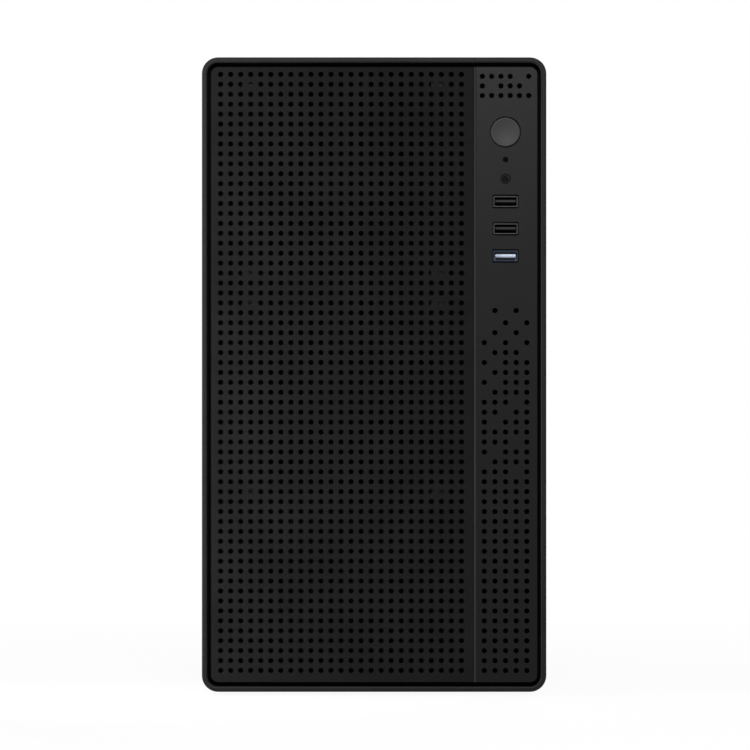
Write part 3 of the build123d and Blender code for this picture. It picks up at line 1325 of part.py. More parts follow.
fan_screws = [front(FAN_X + x, Y_PLATE, z + y) for z in fan_zs for x, y in corners(FAN_HOLES_120)]
fan_screws += [back(REAR_FAN_X + x, Y_REAR, REAR_FAN_Z + y) for x, y in corners(FAN_HOLES_92)]
fan_screws += [under(x, Y_PSU_FAN + y, Z_PSU - GUARD_T) for x, y in corners(FAN_HOLES_120)]
fan_screws += [left(X_SINK - FAN_T, Y_CPU + x, Z_CPU + y) for x, y in corners(FAN_HOLES_92)]

with BuildPart() as all_screws:
    add(screws(small_screws, SCREW_R, SCREW_L))
    add(screws(fan_screws, FAN_SCREW_R, FAN_SCREW_L))
keep(all_screws.part, "screws")


def side_panel(side):
    """A sheet side: runners that hook behind the chassis flanges, and a rear flange for two thumbscrews."""
    runner_y = (Y_PLATE + RUNNER_BACK, Y_REAR - RUNNER_END)
    web_x = to_side(side, X_HOOK, X_SKIN)
    hook_x = to_side(side, X_HOOK, X_HOOK_OUT)
    with BuildPart() as panel:
        slab(to_side(side, X_SKIN, X_SKIN_OUT), (Y_PLATE, Y_REAR + SKIN), (FOOT_H, Z_ROOF_OUT))
        slab(web_x, runner_y, (runner_low - SKIN, runner_low))
        slab(hook_x, runner_y, (runner_low - RUNNER_HOOK, runner_low))
        slab(web_x, runner_y, (runner_high, runner_high + SKIN))
        slab(hook_x, runner_y, (runner_high, runner_high + RUNNER_HOOK))
        flange_x = to_side(side, X_SKIN_OUT - REAR_FLANGE_W, X_SKIN_OUT)
        slab(flange_x, (Y_REAR, Y_REAR + SKIN), (FOOT_H + SHEET, Z_ROOF_OUT - SHEET))
        with BuildSketch(front(0, Y_REAR, 0)):
            with Locations(*[(side * thumb_x, z) for z in thumb_zs]):
                Circle(THUMB_SHANK_R + 2 * THUMB_CLEAR)
        extrude(amount=-SKIN, mode=Mode.SUBTRACT)
    return panel.part


def thumbscrew(side, z):
    """A knurled thumbscrew whose shank goes through the side panel's flange into the rear panel."""
    with BuildPart() as screw:
        with BuildSketch(back(side * thumb_x, Y_REAR + SKIN + FIT, z)):
            Circle(THUMB_R)
            with PolarLocations(THUMB_R, THUMB_KNURLS):
                Circle(THUMB_KNURL_R, mode=Mode.SUBTRACT)
        extrude(amount=THUMB_H - FIT)
        with BuildSketch(back(side * thumb_x, Y_REAR + SKIN + THUMB_H, z)):
            Rectangle(2 * THUMB_R - 3 * SHEET, SHEET)
            Rectangle(SHEET, 2 * THUMB_R - 3 * SHEET)
        extrude(amount=-2 * SHEET, mode=Mode.SUBTRACT)
        with BuildSketch(back(side * thumb_x, Y_REAR + SKIN + FIT, z)):
            Circle(THUMB_SHANK_R)
        extrude(amount=-THUMB_SHANK_L)
    return screw.part


for name, side in (("left", -1), ("right", 1)):
    keep(side_panel(side), f"{name}_side_panel")
    for place, z in zip(("lower", "upper"), thumb_zs):
        keep(thumbscrew(side, z), f"{name}_{place}_thumbscrew")


def cable(points, radius, bend, plugs):
    """A round cable along straight runs with even bends, joined to the plugs at its ends."""
    with BuildPart() as wire:
        with BuildLine() as run:
            FilletPolyline(*points, radius=bend)
        with BuildSketch(Plane(origin=run.line @ 0, z_dir=run.line % 0)):
            Circle(radius)
        sweep()
        for x, y, z in plugs:
            slab(x, y, z)
    return wire.part


def board_plug(y, z, wide, tall, high, plug_high):
    """The space of a plug on a board socket of this size."""
    x_face = X_BOARD - high
    return ((x_face - plug_high, x_face), about(y, wide), about(z, tall))


# Cables from the power supply to the board and the drive
y_in = Y_PSU + 3 * PSU_WALL
x_plug = X_BOARD - 2 * PLUG_H
atx_run = [
    (ATX_X, y_in, PSU_OUT_Z),
    (ATX_X, atx_y, PSU_OUT_Z),
    (ATX_X, atx_y, ATX_Z),
    (x_plug, atx_y, ATX_Z),
]
atx_plug = board_plug(atx_y, ATX_Z, ATX_W - SHEET, ATX_L - SHEET, PLUG_H, PLUG_H)
keep(cable(atx_run, ATX_R, 2 * ATX_R, [atx_plug]), "main_power_cable")

eps_run = [
    (EPS_X, y_in, PSU_OUT_Z),
    (EPS_X, Y_BOARD_FRONT - EPS_OUT, PSU_OUT_Z),
    (EPS_X, Y_BOARD_FRONT - EPS_OUT, eps_z),
    (x_plug - 4 * EPS_R, eps_y, eps_z),
    (x_plug, eps_y, eps_z),
]
eps_plug = board_plug(eps_y, eps_z, EPS_L - SHEET, EPS_W - SHEET, PLUG_H, PLUG_H)
keep(cable(eps_run, EPS_R, 2 * EPS_R, [eps_plug]), "cpu_power_cable")

y_drive_back = Y_DRIVE + DRIVE_L
z_socket = Z_DRIVE + DRIVE_PLUG_RISE
drive_turn = y_drive_back + DRIVE_PLUG_L + 3 * DRIVE_R
drive_run = [
    (DRIVE_CABLE_X, y_in, DRIVE_CABLE_Z),
    (DRIVE_CABLE_X, drive_turn, DRIVE_CABLE_Z),
    (DRIVE_CABLE_X, drive_turn, z_socket),
    (DRIVE_CABLE_X, y_drive_back + DRIVE_PLUG_L, z_socket),
]
drive_plug_z = about(z_socket, DRIVE_PLUG_H)
drive_plug_y = (y_drive_back, y_drive_back + DRIVE_PLUG_L)
drive_plug = (about(DRIVE_CABLE_X, POWER_PLUG_W), drive_plug_y, drive_plug_z)
keep(cable(drive_run, DRIVE_R, 2 * DRIVE_R, [drive_plug]), "drive_power_cable")

x_sata = X_BOARD - SATA_H - SATA_PLUG_H
sata_bend = x_sata - 6 * SATA_R
sata_front = Y_BOARD_FRONT - 4 * SATA_R
sata_run = [
    (SATA_X, y_drive_back + DRIVE_PLUG_L, z_socket),
    (SATA_X, drive_turn, z_socket),
    (SATA_X, drive_turn, SATA_LOW_Z),
    (SATA_X, sata_front, SATA_LOW_Z),
    (SATA_X, sata_front, SATA_Z),
    (sata_bend, sata_front, SATA_Z),
    (sata_bend, sata_y, SATA_Z),
    (x_sata, sata_y, SATA_Z),
]
sata_plug = board_plug(sata_y, SATA_Z, SATA_W - SHEET, SATA_L - SHEET, SATA_H, SATA_PLUG_H)
data_plug = (about(SATA_X, DATA_PLUG_W), drive_plug_y, drive_plug_z)
keep(cable(sata_run, SATA_R, 2 * SATA_R, [sata_plug, data_plug]), "drive_data_cable")

# Cable from the board behind the strip to the motherboard
header_face = X_BOARD - SATA_H - SATA_PLUG_H
panel_run = [
    (STRIP_MID, Y_IO_BOARD + BOARD_T, io_mid),
    (STRIP_MID, Y_BOARD_FRONT - PANEL_CABLE_OUT, io_mid),
    (STRIP_MID, Y_BOARD_FRONT - PANEL_CABLE_OUT, header_z),
    (header_face - 4 * PANEL_CABLE_R, HEADER_Y, header_z),
    (header_face, HEADER_Y, header_z),
]
panel_plug = board_plug(HEADER_Y, header_z, HEADER_L - SHEET, HEADER_W - SHEET, SATA_H, SATA_PLUG_H)
keep(cable(panel_run, PANEL_CABLE_R, 2 * PANEL_CABLE_R, [panel_plug]), "front_panel_cable")
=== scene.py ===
"""Looks for a small desktop computer tower: camera, light, and a procedural finish for each piece."""

import json
import math
import random

import bpy
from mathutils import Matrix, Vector
from mathutils.bvhtree import BVHTree


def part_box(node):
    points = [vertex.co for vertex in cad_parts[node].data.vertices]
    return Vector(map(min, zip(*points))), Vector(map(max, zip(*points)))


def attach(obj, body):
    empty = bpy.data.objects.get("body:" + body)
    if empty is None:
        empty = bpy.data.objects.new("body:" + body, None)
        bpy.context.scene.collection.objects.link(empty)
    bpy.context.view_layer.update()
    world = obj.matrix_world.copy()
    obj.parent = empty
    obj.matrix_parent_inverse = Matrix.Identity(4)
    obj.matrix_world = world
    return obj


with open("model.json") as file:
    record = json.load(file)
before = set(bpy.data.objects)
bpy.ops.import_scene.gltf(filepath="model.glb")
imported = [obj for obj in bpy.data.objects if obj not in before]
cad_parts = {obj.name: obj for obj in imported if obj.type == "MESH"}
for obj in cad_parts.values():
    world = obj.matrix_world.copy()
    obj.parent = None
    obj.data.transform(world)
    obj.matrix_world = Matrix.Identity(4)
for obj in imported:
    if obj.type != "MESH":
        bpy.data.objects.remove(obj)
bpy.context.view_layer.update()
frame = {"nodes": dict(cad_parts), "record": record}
nodes = frame["nodes"]

# The photograph: a square frame, and where the front panel lies in it
FRAME_PX = 750.0
PANEL_PX_H = 634.75
PANEL_PX_X = 374.1
PANEL_PX_Y = 374.6

# Camera: its sensor, and how far it stands from the panel and how far it sees in metres
SENSOR_MM = 36.0
CAMERA_FAR = 3.0
CAMERA_REACH = 50.0

# The front panel as it is built
panel_low, panel_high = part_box("front_bezel")
panel_h = panel_high.z - panel_low.z
panel_y = panel_low.y
panel_mid = (panel_low + panel_high) / 2
metre_per_px = panel_h / PANEL_PX_H

# Lamps: place, target and size in metres, and power in watts
LAMPS = {
    "front": ((0.05, -2.0, 0.95), (0.05, panel_y, 0.30), (0.6, 0.6), 26.0),
    "edge": ((-0.25, panel_y - 0.10, 0.177), (0.0, panel_y, 0.177), (0.02, 0.45), 1.8),
    "left": ((-1.6, 0.2, 0.9), (0, 0, 0.2), (0.8, 0.8), 4.0),
    "right": ((1.6, -0.1, 0.8), (0, 0, 0.2), (0.8, 0.8), 4.0),
    "back": ((0.4, 1.8, 1.1), (0, 0.2, 0.2), (0.8, 0.8), 16.0),
}

# Stage: light from all round, the floor, and the share of its shadow that shows near the object
AMBIENT = 0.2
FLOOR_COLOUR = (0.85, 0.85, 0.85)
FLOOR_ROUGHNESS = 0.9
FLOOR_REACH = 8.0
FLOOR_DROP = 0.0002
SHADOW_SHARE = 0.06
SHADOW_REACH = (0.35, 0.9)

# Front details, in metres: depths are from the panel's front, and shares are of a finish's own tone
# that painted shade leaves
RIM_HALF = 0.0015
GROOVE_DEPTH = (0.002, 0.006)
GROOVE_SHADE_SHARE = 0.15
STRIP_EDGE = 0.001
RING_WIDTH = 0.00025
RING_DEPTH = 0.000012
# Socket tongues: painted shade at their roots and along their lower edges
TONGUE_DEPTH = (0.0035, 0.006)
TONGUE_PITCH = 0.015
TONGUE_HALF = 0.00092
TONGUE_BAND = 0.00065
DARK_TONGUE_SHARE = 0.1
PALE_TONGUE_SHARE = 0.45
SHELL_REACH = 0.005
JACK_DEPTH = (0.002, 0.004)

# Details inside, in metres: shares are of the pitch before them
TRACK_PATCH = 0.018
TRACK_PITCH = 0.0014
TRACK_GAP_SHARE = 0.55
TRACK_RISE = 0.00003
DOT_PITCH = 0.005
DOT_RADIUS_SHARE = 0.13
MODULE_HALF = 0.00165
MODULE_BOARD_HALF = 0.0007
CAN_ABOVE = 0.0051
# How deep the painted shade on the rear shield's inner face reaches
SHADED_FACE_DEPTH = 0.0001
SLEEVE_WEAVE = 0.0012
SLEEVE_DEPTH = 0.0003

# Small parts on the motherboard: lengths in metres, and a metal end's share of its part's length
SMALL_SEED = 5
SMALL_COUNT = 260
SMALL_LONG_WIDE_TALL = ((0.0016, 0.0008, 0.0006), (0.002, 0.00125, 0.0008), (0.0032, 0.0016, 0.001))
SMALL_EDGE = 0.004
SMALL_PITCH = 0.0042
SMALL_CLEAR = 0.0008
SMALL_HEADROOM = 0.012
SMALL_LIFT = 0.00001
END_SHARE = 0.22

# One in two, for what is chosen at random
EVEN_ODDS = 0.5

# Colours painted over part of a finish
# A painted highlight along the io strip's left edge
STRIP_EDGE_HIGHLIGHT = (0.012, 0.012, 0.0125)
# A painted reflection of the blue tongue in the lowest socket's shell
TONGUE_BLUE_REFLECTION = (0.022, 0.029, 0.040)
CONTACT_METAL = (0.45, 0.45, 0.46)
TRACK_GREEN = (0.018, 0.085, 0.045)
SOLDER = (0.35, 0.34, 0.28)
CHIP_BLACK = (0.008, 0.008, 0.009)
CAN_METAL = (0.5, 0.5, 0.52)
JACK_GREEN = (0.16, 0.42, 0.07)
JACK_PINK = (0.5, 0.14, 0.2)
# Painted shade on the rear shield's inner face
SHIELD_SHADE_BLACK = (0.01, 0.01, 0.01)

# A box's faces by its corners, and the nodes that stand on the motherboard
BOX_FACES = ((0, 1, 3, 2), (4, 6, 7, 5), (0, 4, 5, 1), (2, 3, 7, 6), (0, 2, 6, 4), (1, 5, 7, 3))
ON_BOARD = (
    "board_parts",
    "board_connectors",
    "memory_modules",
    "cpu_heatsink",
    "chipset_heatsink",
    "rear_ports",
    "rear_audio_jacks",
    "screws",
    "main_power_cable",
    "cpu_power_cable",
    "drive_data_cable",
    "front_panel_cable",
)


def make_camera():
    """A long lens straight in front of the panel, framed as in the photograph."""
    data = bpy.data.cameras.new("camera")
    data.sensor_width = SENSOR_MM
    data.lens = SENSOR_MM * CAMERA_FAR / (FRAME_PX * metre_per_px)
    data.clip_end = CAMERA_REACH
    camera = bpy.data.objects.new("camera", data)
    camera.location = (
        panel_mid.x + (FRAME_PX / 2 - PANEL_PX_X) * metre_per_px,
        panel_y - CAMERA_FAR,
        panel_mid.z - (FRAME_PX / 2 - PANEL_PX_Y) * metre_per_px,
    )
    camera.rotation_euler = (math.radians(90), 0, 0)
    bpy.context.scene.collection.objects.link(camera)
    bpy.context.scene.camera = camera


def make_lamp(name, place, target, size, power):
    """A soft rectangular lamp at a place, aimed at a target."""
    data = bpy.data.lights.new(name, "AREA")
    data.shape = "RECTANGLE"
    data.size, data.size_y = size
    data.energy = power
    lamp = bpy.data.objects.new(name, data)
    lamp.location = place
    lamp.rotation_euler = (Vector(target) - Vector(place)).to_track_quat("-Z", "Y").to_euler()
    lamp.visible_camera = False
    bpy.context.scene.collection.objects.link(lamp)


def new_node(tree, kind, **sockets):
    """Add a shader node with its named sockets set."""
    node = tree.nodes.new(kind)
    for key, value in sockets.items():
        node.inputs[key.replace("_", " ")].default_value = value
    return node


def maths(tree, operation, first, second):
    """A sum, product or comparison of two values, each a number or another node's output."""
    node = tree.nodes.new("ShaderNodeMath")
    node.operation = operation
    for socket, value in zip(node.inputs, (first, second)):
        if isinstance(value, (int, float)):
            socket.default_value = value
        else:
            tree.links.new(value, socket)
    return node.outputs[0]


def vector_maths(tree, operation, vector, other):
    """A node that works on a vector and a constant one."""
    node = tree.nodes.new("ShaderNodeVectorMath")
    node.operation = operation
    tree.links.new(vector, node.inputs[0])
    node.inputs[1].default_value = other
    return node


def span(tree, value, low, high, start=0.0, stop=1.0):
    """A value mapped from one range to another, and held at its ends."""
    node = new_node(tree, "ShaderNodeMapRange", From_Min=start, From_Max=stop, To_Min=low, To_Max=high)
    tree.links.new(value, node.inputs["Value"])
    return node.outputs[0]


def ramp(tree, fac, low, high, start=0.3, stop=0.7):
    """A colour between two, by a value."""
    node = tree.nodes.new("ShaderNodeValToRGB")
    node.color_ramp.elements[0].position = start
    node.color_ramp.elements[1].position = stop
    node.color_ramp.elements[0].color = (*low, 1)
    node.color_ramp.elements[1].color = (*high, 1)
    tree.links.new(fac, node.inputs[0])
    return node.outputs[0]


def noise(tree, coords, size, detail=3.0):
    """Noise whose features are about this many metres across."""
    node = new_node(tree, "ShaderNodeTexNoise", Scale=1.0 / size, Detail=detail)
    tree.links.new(coords, node.inputs["Vector"])
    return node.outputs["Fac"]


def cells(tree, coords, size):
    """Cells about this many metres across: a value for each, and how far a point is from its middle."""
    node = new_node(tree, "ShaderNodeTexVoronoi", Scale=1.0 / size)
    tree.links.new(coords, node.inputs["Vector"])
    split = tree.nodes.new("ShaderNodeSeparateColor")
    tree.links.new(node.outputs["Color"], split.inputs[0])
    return split.outputs[0], node.outputs["Distance"]


def own_coords(tree):
    """A piece's own coordinates, which are the frame's in metres while the object is at rest."""
    return tree.nodes.new("ShaderNodeTexCoord").outputs["Object"]


def own_axes(tree):
    """A piece's own X, Y and Z, each as a value."""
    split = tree.nodes.new("ShaderNodeSeparateXYZ")
    tree.links.new(own_coords(tree), split.inputs[0])
    return split.outputs


def away_from(tree, axis, place):
    """How far a point lies from a place along an axis."""
    return maths(tree, "ABSOLUTE", maths(tree, "SUBTRACT", axis, place), 0.0)


def behind(tree, start, stop):
    """How deep a point lies behind the panel's front: 0 at one depth and 1 at another."""
    return span(tree, own_axes(tree)[1], 0.0, 1.0, panel_y + start, panel_y + stop)


def seen_white(tree, shader, share):
    """Mix a shader with plain white where the camera, a reflection or a clear piece looks at it."""
    path = tree.nodes.new("ShaderNodeLightPath")
    looked_at = maths(tree, "MAXIMUM", path.outputs["Is Camera Ray"], path.outputs["Is Glossy Ray"])
    looked_at = maths(tree, "MAXIMUM", looked_at, path.outputs["Is Transmission Ray"])
    white = tree.nodes.new("ShaderNodeEmission")
    mix = tree.nodes.new("ShaderNodeMixShader")
    tree.links.new(maths(tree, "MULTIPLY", looked_at, share), mix.inputs[0])
    tree.links.new(shader, mix.inputs[1])
    tree.links.new(white.outputs[0], mix.inputs[2])
    return mix.outputs[0]


def make_floor():
    """A white floor that keeps a faint shadow round the object."""
    mesh = bpy.data.meshes.new("floor")
    reach = FLOOR_REACH
    z = -FLOOR_DROP
    corners = [(-reach, -reach, z), (reach, -reach, z), (reach, reach, z), (-reach, reach, z)]
    mesh.from_pydata(corners, [], [(0, 1, 2, 3)])
    floor = bpy.data.objects.new("floor", mesh)
    bpy.context.scene.collection.objects.link(floor)
    mat = bpy.data.materials.new("floor")
    mat.use_nodes = True
    tree = mat.node_tree
    shader = tree.nodes["Principled BSDF"]
    shader.inputs["Base Color"].default_value = (*FLOOR_COLOUR, 1)
    shader.inputs["Roughness"].default_value = FLOOR_ROUGHNESS
    away = tree.nodes.new("ShaderNodeVectorMath")
    away.operation = "LENGTH"
    tree.links.new(own_coords(tree), away.inputs[0])
    share = span(tree, away.outputs["Value"], 1 - SHADOW_SHARE, 1.0, *SHADOW_REACH)
    tree.links.new(seen_white(tree, shader.outputs[0], share), tree.nodes["Material Output"].inputs[0])
    mesh.materials.append(mat)


def make_surround():
    """Dim light from all round, from a surround that looks white."""
    world = bpy.data.worlds.new("surround")
    world.use_nodes = True
    bpy.context.scene.world = world
    tree = world.node_tree
    ambient = tree.nodes["Background"]
    ambient.inputs["Color"].default_value = (1, 1, 1, 1)
    ambient.inputs["Strength"].default_value = AMBIENT
    tree.links.new(seen_white(tree, ambient.outputs[0], 1.0), tree.nodes["World Output"].inputs[0])


def emboss(mat, height, depth):
    """Raise a surface by a value, up to a depth in metres."""
    tree = mat.node_tree
    bump = new_node(tree, "ShaderNodeBump", Strength=1.0, Distance=depth)
    tree.links.new(height, bump.inputs["Height"])
    tree.links.new(bump.outputs[0], tree.nodes["Principled BSDF"].inputs["Normal"])


def finish(
    name,
    colour,
    roughness,
    gloss=0.5,
    metallic=0.0,
    grain=0.0004,
    depth=0.00002,
    vary=0.12,
    patch=0.03,
    spread=0.06,
    stretch=(1.0, 1.0, 1.0),
):
    """A moulded, coated, brushed or bare surface: patchy tone, uneven gloss, and a fine grain."""
    mat = bpy.data.materials.new(name)
    mat.use_nodes = True
    tree = mat.node_tree
    shader = tree.nodes["Principled BSDF"]
    shader.inputs["Metallic"].default_value = metallic
    shader.inputs["Specular IOR Level"].default_value = gloss
    coords = own_coords(tree)
    broad = noise(tree, coords, patch)
    fine = noise(tree, vector_maths(tree, "MULTIPLY", coords, stretch).outputs[0], grain, detail=2.0)
    low = [c * (1 - vary) for c in colour]
    high = [c * (1 + vary) for c in colour]
    tree.links.new(ramp(tree, broad, low, high), shader.inputs["Base Color"])
    tree.links.new(span(tree, fine, roughness - spread, roughness + spread), shader.inputs["Roughness"])
    emboss(mat, fine, depth)
    return mat


def paint(mat, amount, colour):
    """Turn a finish to another colour as far as an amount from 0 to 1 says."""
    tree = mat.node_tree
    base = tree.nodes["Principled BSDF"].inputs["Base Color"]
    mix = tree.nodes.new("ShaderNodeMix")
    mix.data_type = "RGBA"
    under, over = [socket for socket in mix.inputs if socket.type == "RGBA"]
    over.default_value = (*colour, 1)
    tree.links.new(amount, mix.inputs[0])
    tree.links.new(base.links[0].from_socket, under)
    result = [socket for socket in mix.outputs if socket.type == "RGBA"][0]
    tree.links.new(result, base)


def shade(mat, amount, share):
    """Painted shade: take a finish's colour and gloss down to a share of themselves as far as an amount
    says.
    """
    tree = mat.node_tree
    shader = tree.nodes["Principled BSDF"]
    keep = span(tree, amount, 1.0, share)
    base = shader.inputs["Base Color"]
    scale = tree.nodes.new("ShaderNodeVectorMath")
    scale.operation = "SCALE"
    tree.links.new(base.links[0].from_socket, scale.inputs[0])
    tree.links.new(keep, scale.inputs["Scale"])
    tree.links.new(scale.outputs[0], base)
    gloss = shader.inputs["Specular IOR Level"]
    tree.links.new(maths(tree, "MULTIPLY", keep, gloss.default_value), gloss)


def dress(mat, *names):
    """Give CAD nodes a material."""
    for name in names:
        nodes[name].data.materials.clear()
        nodes[name].data.materials.append(mat)


def bezel_finish():
    """Satin moulding, with painted shade that takes it to black in the groove between the rim and what
    it holds.
    """
    mat = finish("bezel", (0.0068, 0.0068, 0.0072), 0.40, gloss=0.08)
    tree = mat.node_tree
    axes = own_axes(tree)
    beside = maths(tree, "LESS_THAN", away_from(tree, axes[0], 0.0), panel_high.x - RIM_HALF)
    above = maths(tree, "LESS_THAN", away_from(tree, axes[2], panel_mid.z), panel_h / 2 - RIM_HALF)
    inside = maths(tree, "MULTIPLY", beside, above)
    # Painted shade: the groove's walls and floor go dark with depth behind the front
    shade(mat, maths(tree, "MULTIPLY", behind(tree, *GROOVE_DEPTH), inside), GROOVE_SHADE_SHARE)
    return mat


def strip_finish():
    """Satin moulding, with a painted highlight that makes it a little paler along the strip's left
    edge.
    """
    mat = finish("strip", (0.0017, 0.0017, 0.0018), 0.31, gloss=0.115)
    tree = mat.node_tree
    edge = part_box("io_strip")[0].x + STRIP_EDGE
    # Painted highlight: the strip's left edge is made paler, as if its chamfer catches the light
    paint(mat, maths(tree, "LESS_THAN", own_axes(tree)[0], edge), STRIP_EDGE_HIGHLIGHT)
    return mat


def button_finish():
    """Satin face turned in fine rings about the button's axis."""
    mat = finish("button", (0.022, 0.022, 0.023), 0.5, gloss=0.18)
    tree = mat.node_tree
    low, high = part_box("power_button")
    middle = (low + high) / 2
    flat = vector_maths(tree, "MULTIPLY", own_coords(tree), (1.0, 0.0, 1.0))
    radius = vector_maths(tree, "DISTANCE", flat.outputs[0], (middle.x, 0.0, middle.z))
    rings = new_node(tree, "ShaderNodeTexNoise", Scale=1.0 / RING_WIDTH, Detail=1.0)
    rings.noise_dimensions = "1D"
    tree.links.new(radius.outputs["Value"], rings.inputs["W"])
    emboss(mat, rings.outputs["Fac"], RING_DEPTH)
    return mat


def shade_tongues(mat, name, count, share):
    """Darken socket tongues with painted shade at their roots, deep in the socket, and along their
    lower edges.
    """
    tree = mat.node_tree
    low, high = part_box(name)
    z = own_axes(tree)[2]
    shaded = behind(tree, *TONGUE_DEPTH)
    for k in range(count):
        bottom = (low.z + high.z) / 2 + (k - (count - 1) / 2) * TONGUE_PITCH - TONGUE_HALF
        edge = maths(tree, "LESS_THAN", away_from(tree, z, bottom), TONGUE_BAND)
        shaded = maths(tree, "MAXIMUM", shaded, edge)
    shade(mat, shaded, share)


def dark_tongue_finish():
    """Dark plastic tongues of the two upper sockets."""
    mat = finish("tongue", (0.011, 0.011, 0.0115), 0.5, gloss=0.15)
    shade_tongues(mat, "usb2_tongues", 2, DARK_TONGUE_SHARE)
    return mat


def pale_tongue_finish():
    """Pale plastic tongue of the lowest socket."""
    mat = finish("pale", (0.40, 0.46, 0.56), 0.35, gloss=0.3)
    shade_tongues(mat, "usb3_tongue", 1, PALE_TONGUE_SHARE)
    return mat


def dark_steel_finish(name):
    """Dark plated steel."""
    return finish(name, (0.035, 0.035, 0.037), 0.42, metallic=1.0)


def shell_finish():
    """Dark plated socket shells, with a painted blue reflection of the tongue on the shell round the
    lowest socket.
    """
    mat = dark_steel_finish("socket_shell")
    tree = mat.node_tree
    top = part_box("usb3_tongue")[1].z + SHELL_REACH
    # Painted reflection: the shell round the blue tongue is tinted blue
    paint(mat, maths(tree, "LESS_THAN", own_axes(tree)[2], top), TONGUE_BLUE_REFLECTION)
    return mat


def headset_finish():
    """Dark audio socket with pale metal deep inside."""
    mat = finish("jack", (0.005, 0.005, 0.0052), 0.5, gloss=0.06)
    paint(mat, behind(mat.node_tree, *JACK_DEPTH), CONTACT_METAL)
    return mat


def circuit_finish(name):
    """Solder mask over tracks that run one way or the other in patches, with tinned dots."""
    mat = finish(name, (0.010, 0.036, 0.022), 0.32, gloss=0.35)
    tree = mat.node_tree
    coords = own_coords(tree)
    axes = own_axes(tree)
    patch = cells(tree, coords, TRACK_PATCH)[0]
    upright = maths(tree, "GREATER_THAN", patch, EVEN_ODDS)
    level = maths(tree, "SUBTRACT", 1.0, upright)
    tracks = []
    for value, chosen in ((axes[1], upright), (axes[2], level)):
        wave = maths(tree, "PINGPONG", value, TRACK_PITCH / 2)
        line = maths(tree, "GREATER_THAN", wave, TRACK_PITCH / 2 * TRACK_GAP_SHARE)
        tracks.append(maths(tree, "MULTIPLY", line, chosen))
    copper = maths(tree, "ADD", *tracks)
    paint(mat, copper, TRACK_GREEN)
    cell, middle = cells(tree, coords, DOT_PITCH)
    dot = maths(tree, "LESS_THAN", middle, DOT_RADIUS_SHARE)
    paint(mat, maths(tree, "MULTIPLY", dot, maths(tree, "GREATER_THAN", cell, EVEN_ODDS)), SOLDER)
    emboss(mat, copper, TRACK_RISE)
    return mat


def module_finish():
    """Memory modules: a green board with black chips on both of its faces."""
    mat = circuit_finish("module")
    tree = mat.node_tree
    low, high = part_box("memory_modules")
    y = own_axes(tree)[1]
    off = [away_from(tree, y, middle) for middle in (low.y + MODULE_HALF, high.y - MODULE_HALF)]
    chips = maths(tree, "GREATER_THAN", maths(tree, "MINIMUM", *off), MODULE_BOARD_HALF)
    paint(mat, chips, CHIP_BLACK)
    return mat


def can_finish():
    """Dark moulded parts, and bare cans where a part stands higher than the rest."""
    mat = finish("board_part", (0.012, 0.012, 0.013), 0.4, gloss=0.4)
    tree = mat.node_tree
    top = maths(tree, "LESS_THAN", own_axes(tree)[0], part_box("motherboard")[0].x - CAN_ABOVE)
    paint(mat, top, CAN_METAL)
    tree.links.new(top, tree.nodes["Principled BSDF"].inputs["Metallic"])
    return mat


def rear_jack_finish():
    """The audio sockets at the back, side by side, each in its own colour."""
    mat = finish("rear_jack", (0.06, 0.24, 0.42), 0.4, gloss=0.4)
    tree = mat.node_tree
    low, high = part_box("rear_audio_jacks")
    x = own_axes(tree)[0]
    painted = (JACK_GREEN, JACK_PINK)
    pitch = (high.x - low.x) / (len(painted) + 1)
    for k, colour in enumerate(painted, start=1):
        paint(mat, maths(tree, "GREATER_THAN", x, low.x + k * pitch), colour)
    return mat


def zinc_finish(name):
    """Brushed zinc plate."""
    return finish(name, (0.4, 0.4, 0.41), 0.38, metallic=1.0, vary=0.05, stretch=(1.0, 1.0, 0.06))


def shield_finish():
    """Zinc plated shield round the rear sockets, with painted shade that turns its inner face black."""
    mat = zinc_finish("shield")
    tree = mat.node_tree
    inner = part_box("io_shield")[0].y + SHADED_FACE_DEPTH
    # Painted shade: the inner face is turned black so it reads dark through the grille
    paint(mat, maths(tree, "LESS_THAN", own_axes(tree)[1], inner), SHIELD_SHADE_BLACK)
    return mat


def sleeve_finish():
    """Woven sleeve of the cables."""
    mat = finish("sleeve", (0.012, 0.012, 0.0125), 0.6, gloss=0.25)
    tree = mat.node_tree
    emboss(mat, cells(tree, own_coords(tree), SLEEVE_WEAVE)[1], SLEEVE_DEPTH)
    return mat


def surface_of(name):
    """A node's surface, to cast rays at."""
    mesh = nodes[name].data
    return BVHTree.FromPolygons([v.co for v in mesh.vertices], [p.vertices for p in mesh.polygons])


def is_free(standing, face, y, z, half_y, half_z):
    """Whether nothing stands on the board over a patch of it."""
    for side_y in (-1, 0, 1):
        for side_z in (-1, 0, 1):
            point = Vector((face - SMALL_LIFT, y + side_y * half_y, z + side_z * half_z))
            for surface in standing:
                if surface.ray_cast(point, Vector((-1, 0, 0)), SMALL_HEADROOM)[0] is not None:
                    return False
    return True


def chip_boxes(size, upright, kind, face, y, z):
    """One small part's body and its two metal ends, each as a piece's name and a box."""
    long, wide, tall = size
    end = long * END_SHARE
    runs = (
        (kind, -long / 2 + end, long / 2 - end),
        ("small_part_ends", -long / 2, -long / 2 + end),
        ("small_part_ends", long / 2 - end, long / 2),
    )
    across = (-wide / 2, wide / 2)
    for piece, *along in runs:
        span_y, span_z = (across, along) if upright else (along, across)
        yield piece, ((face - tall, face), [y + v for v in span_y], [z + v for v in span_z])


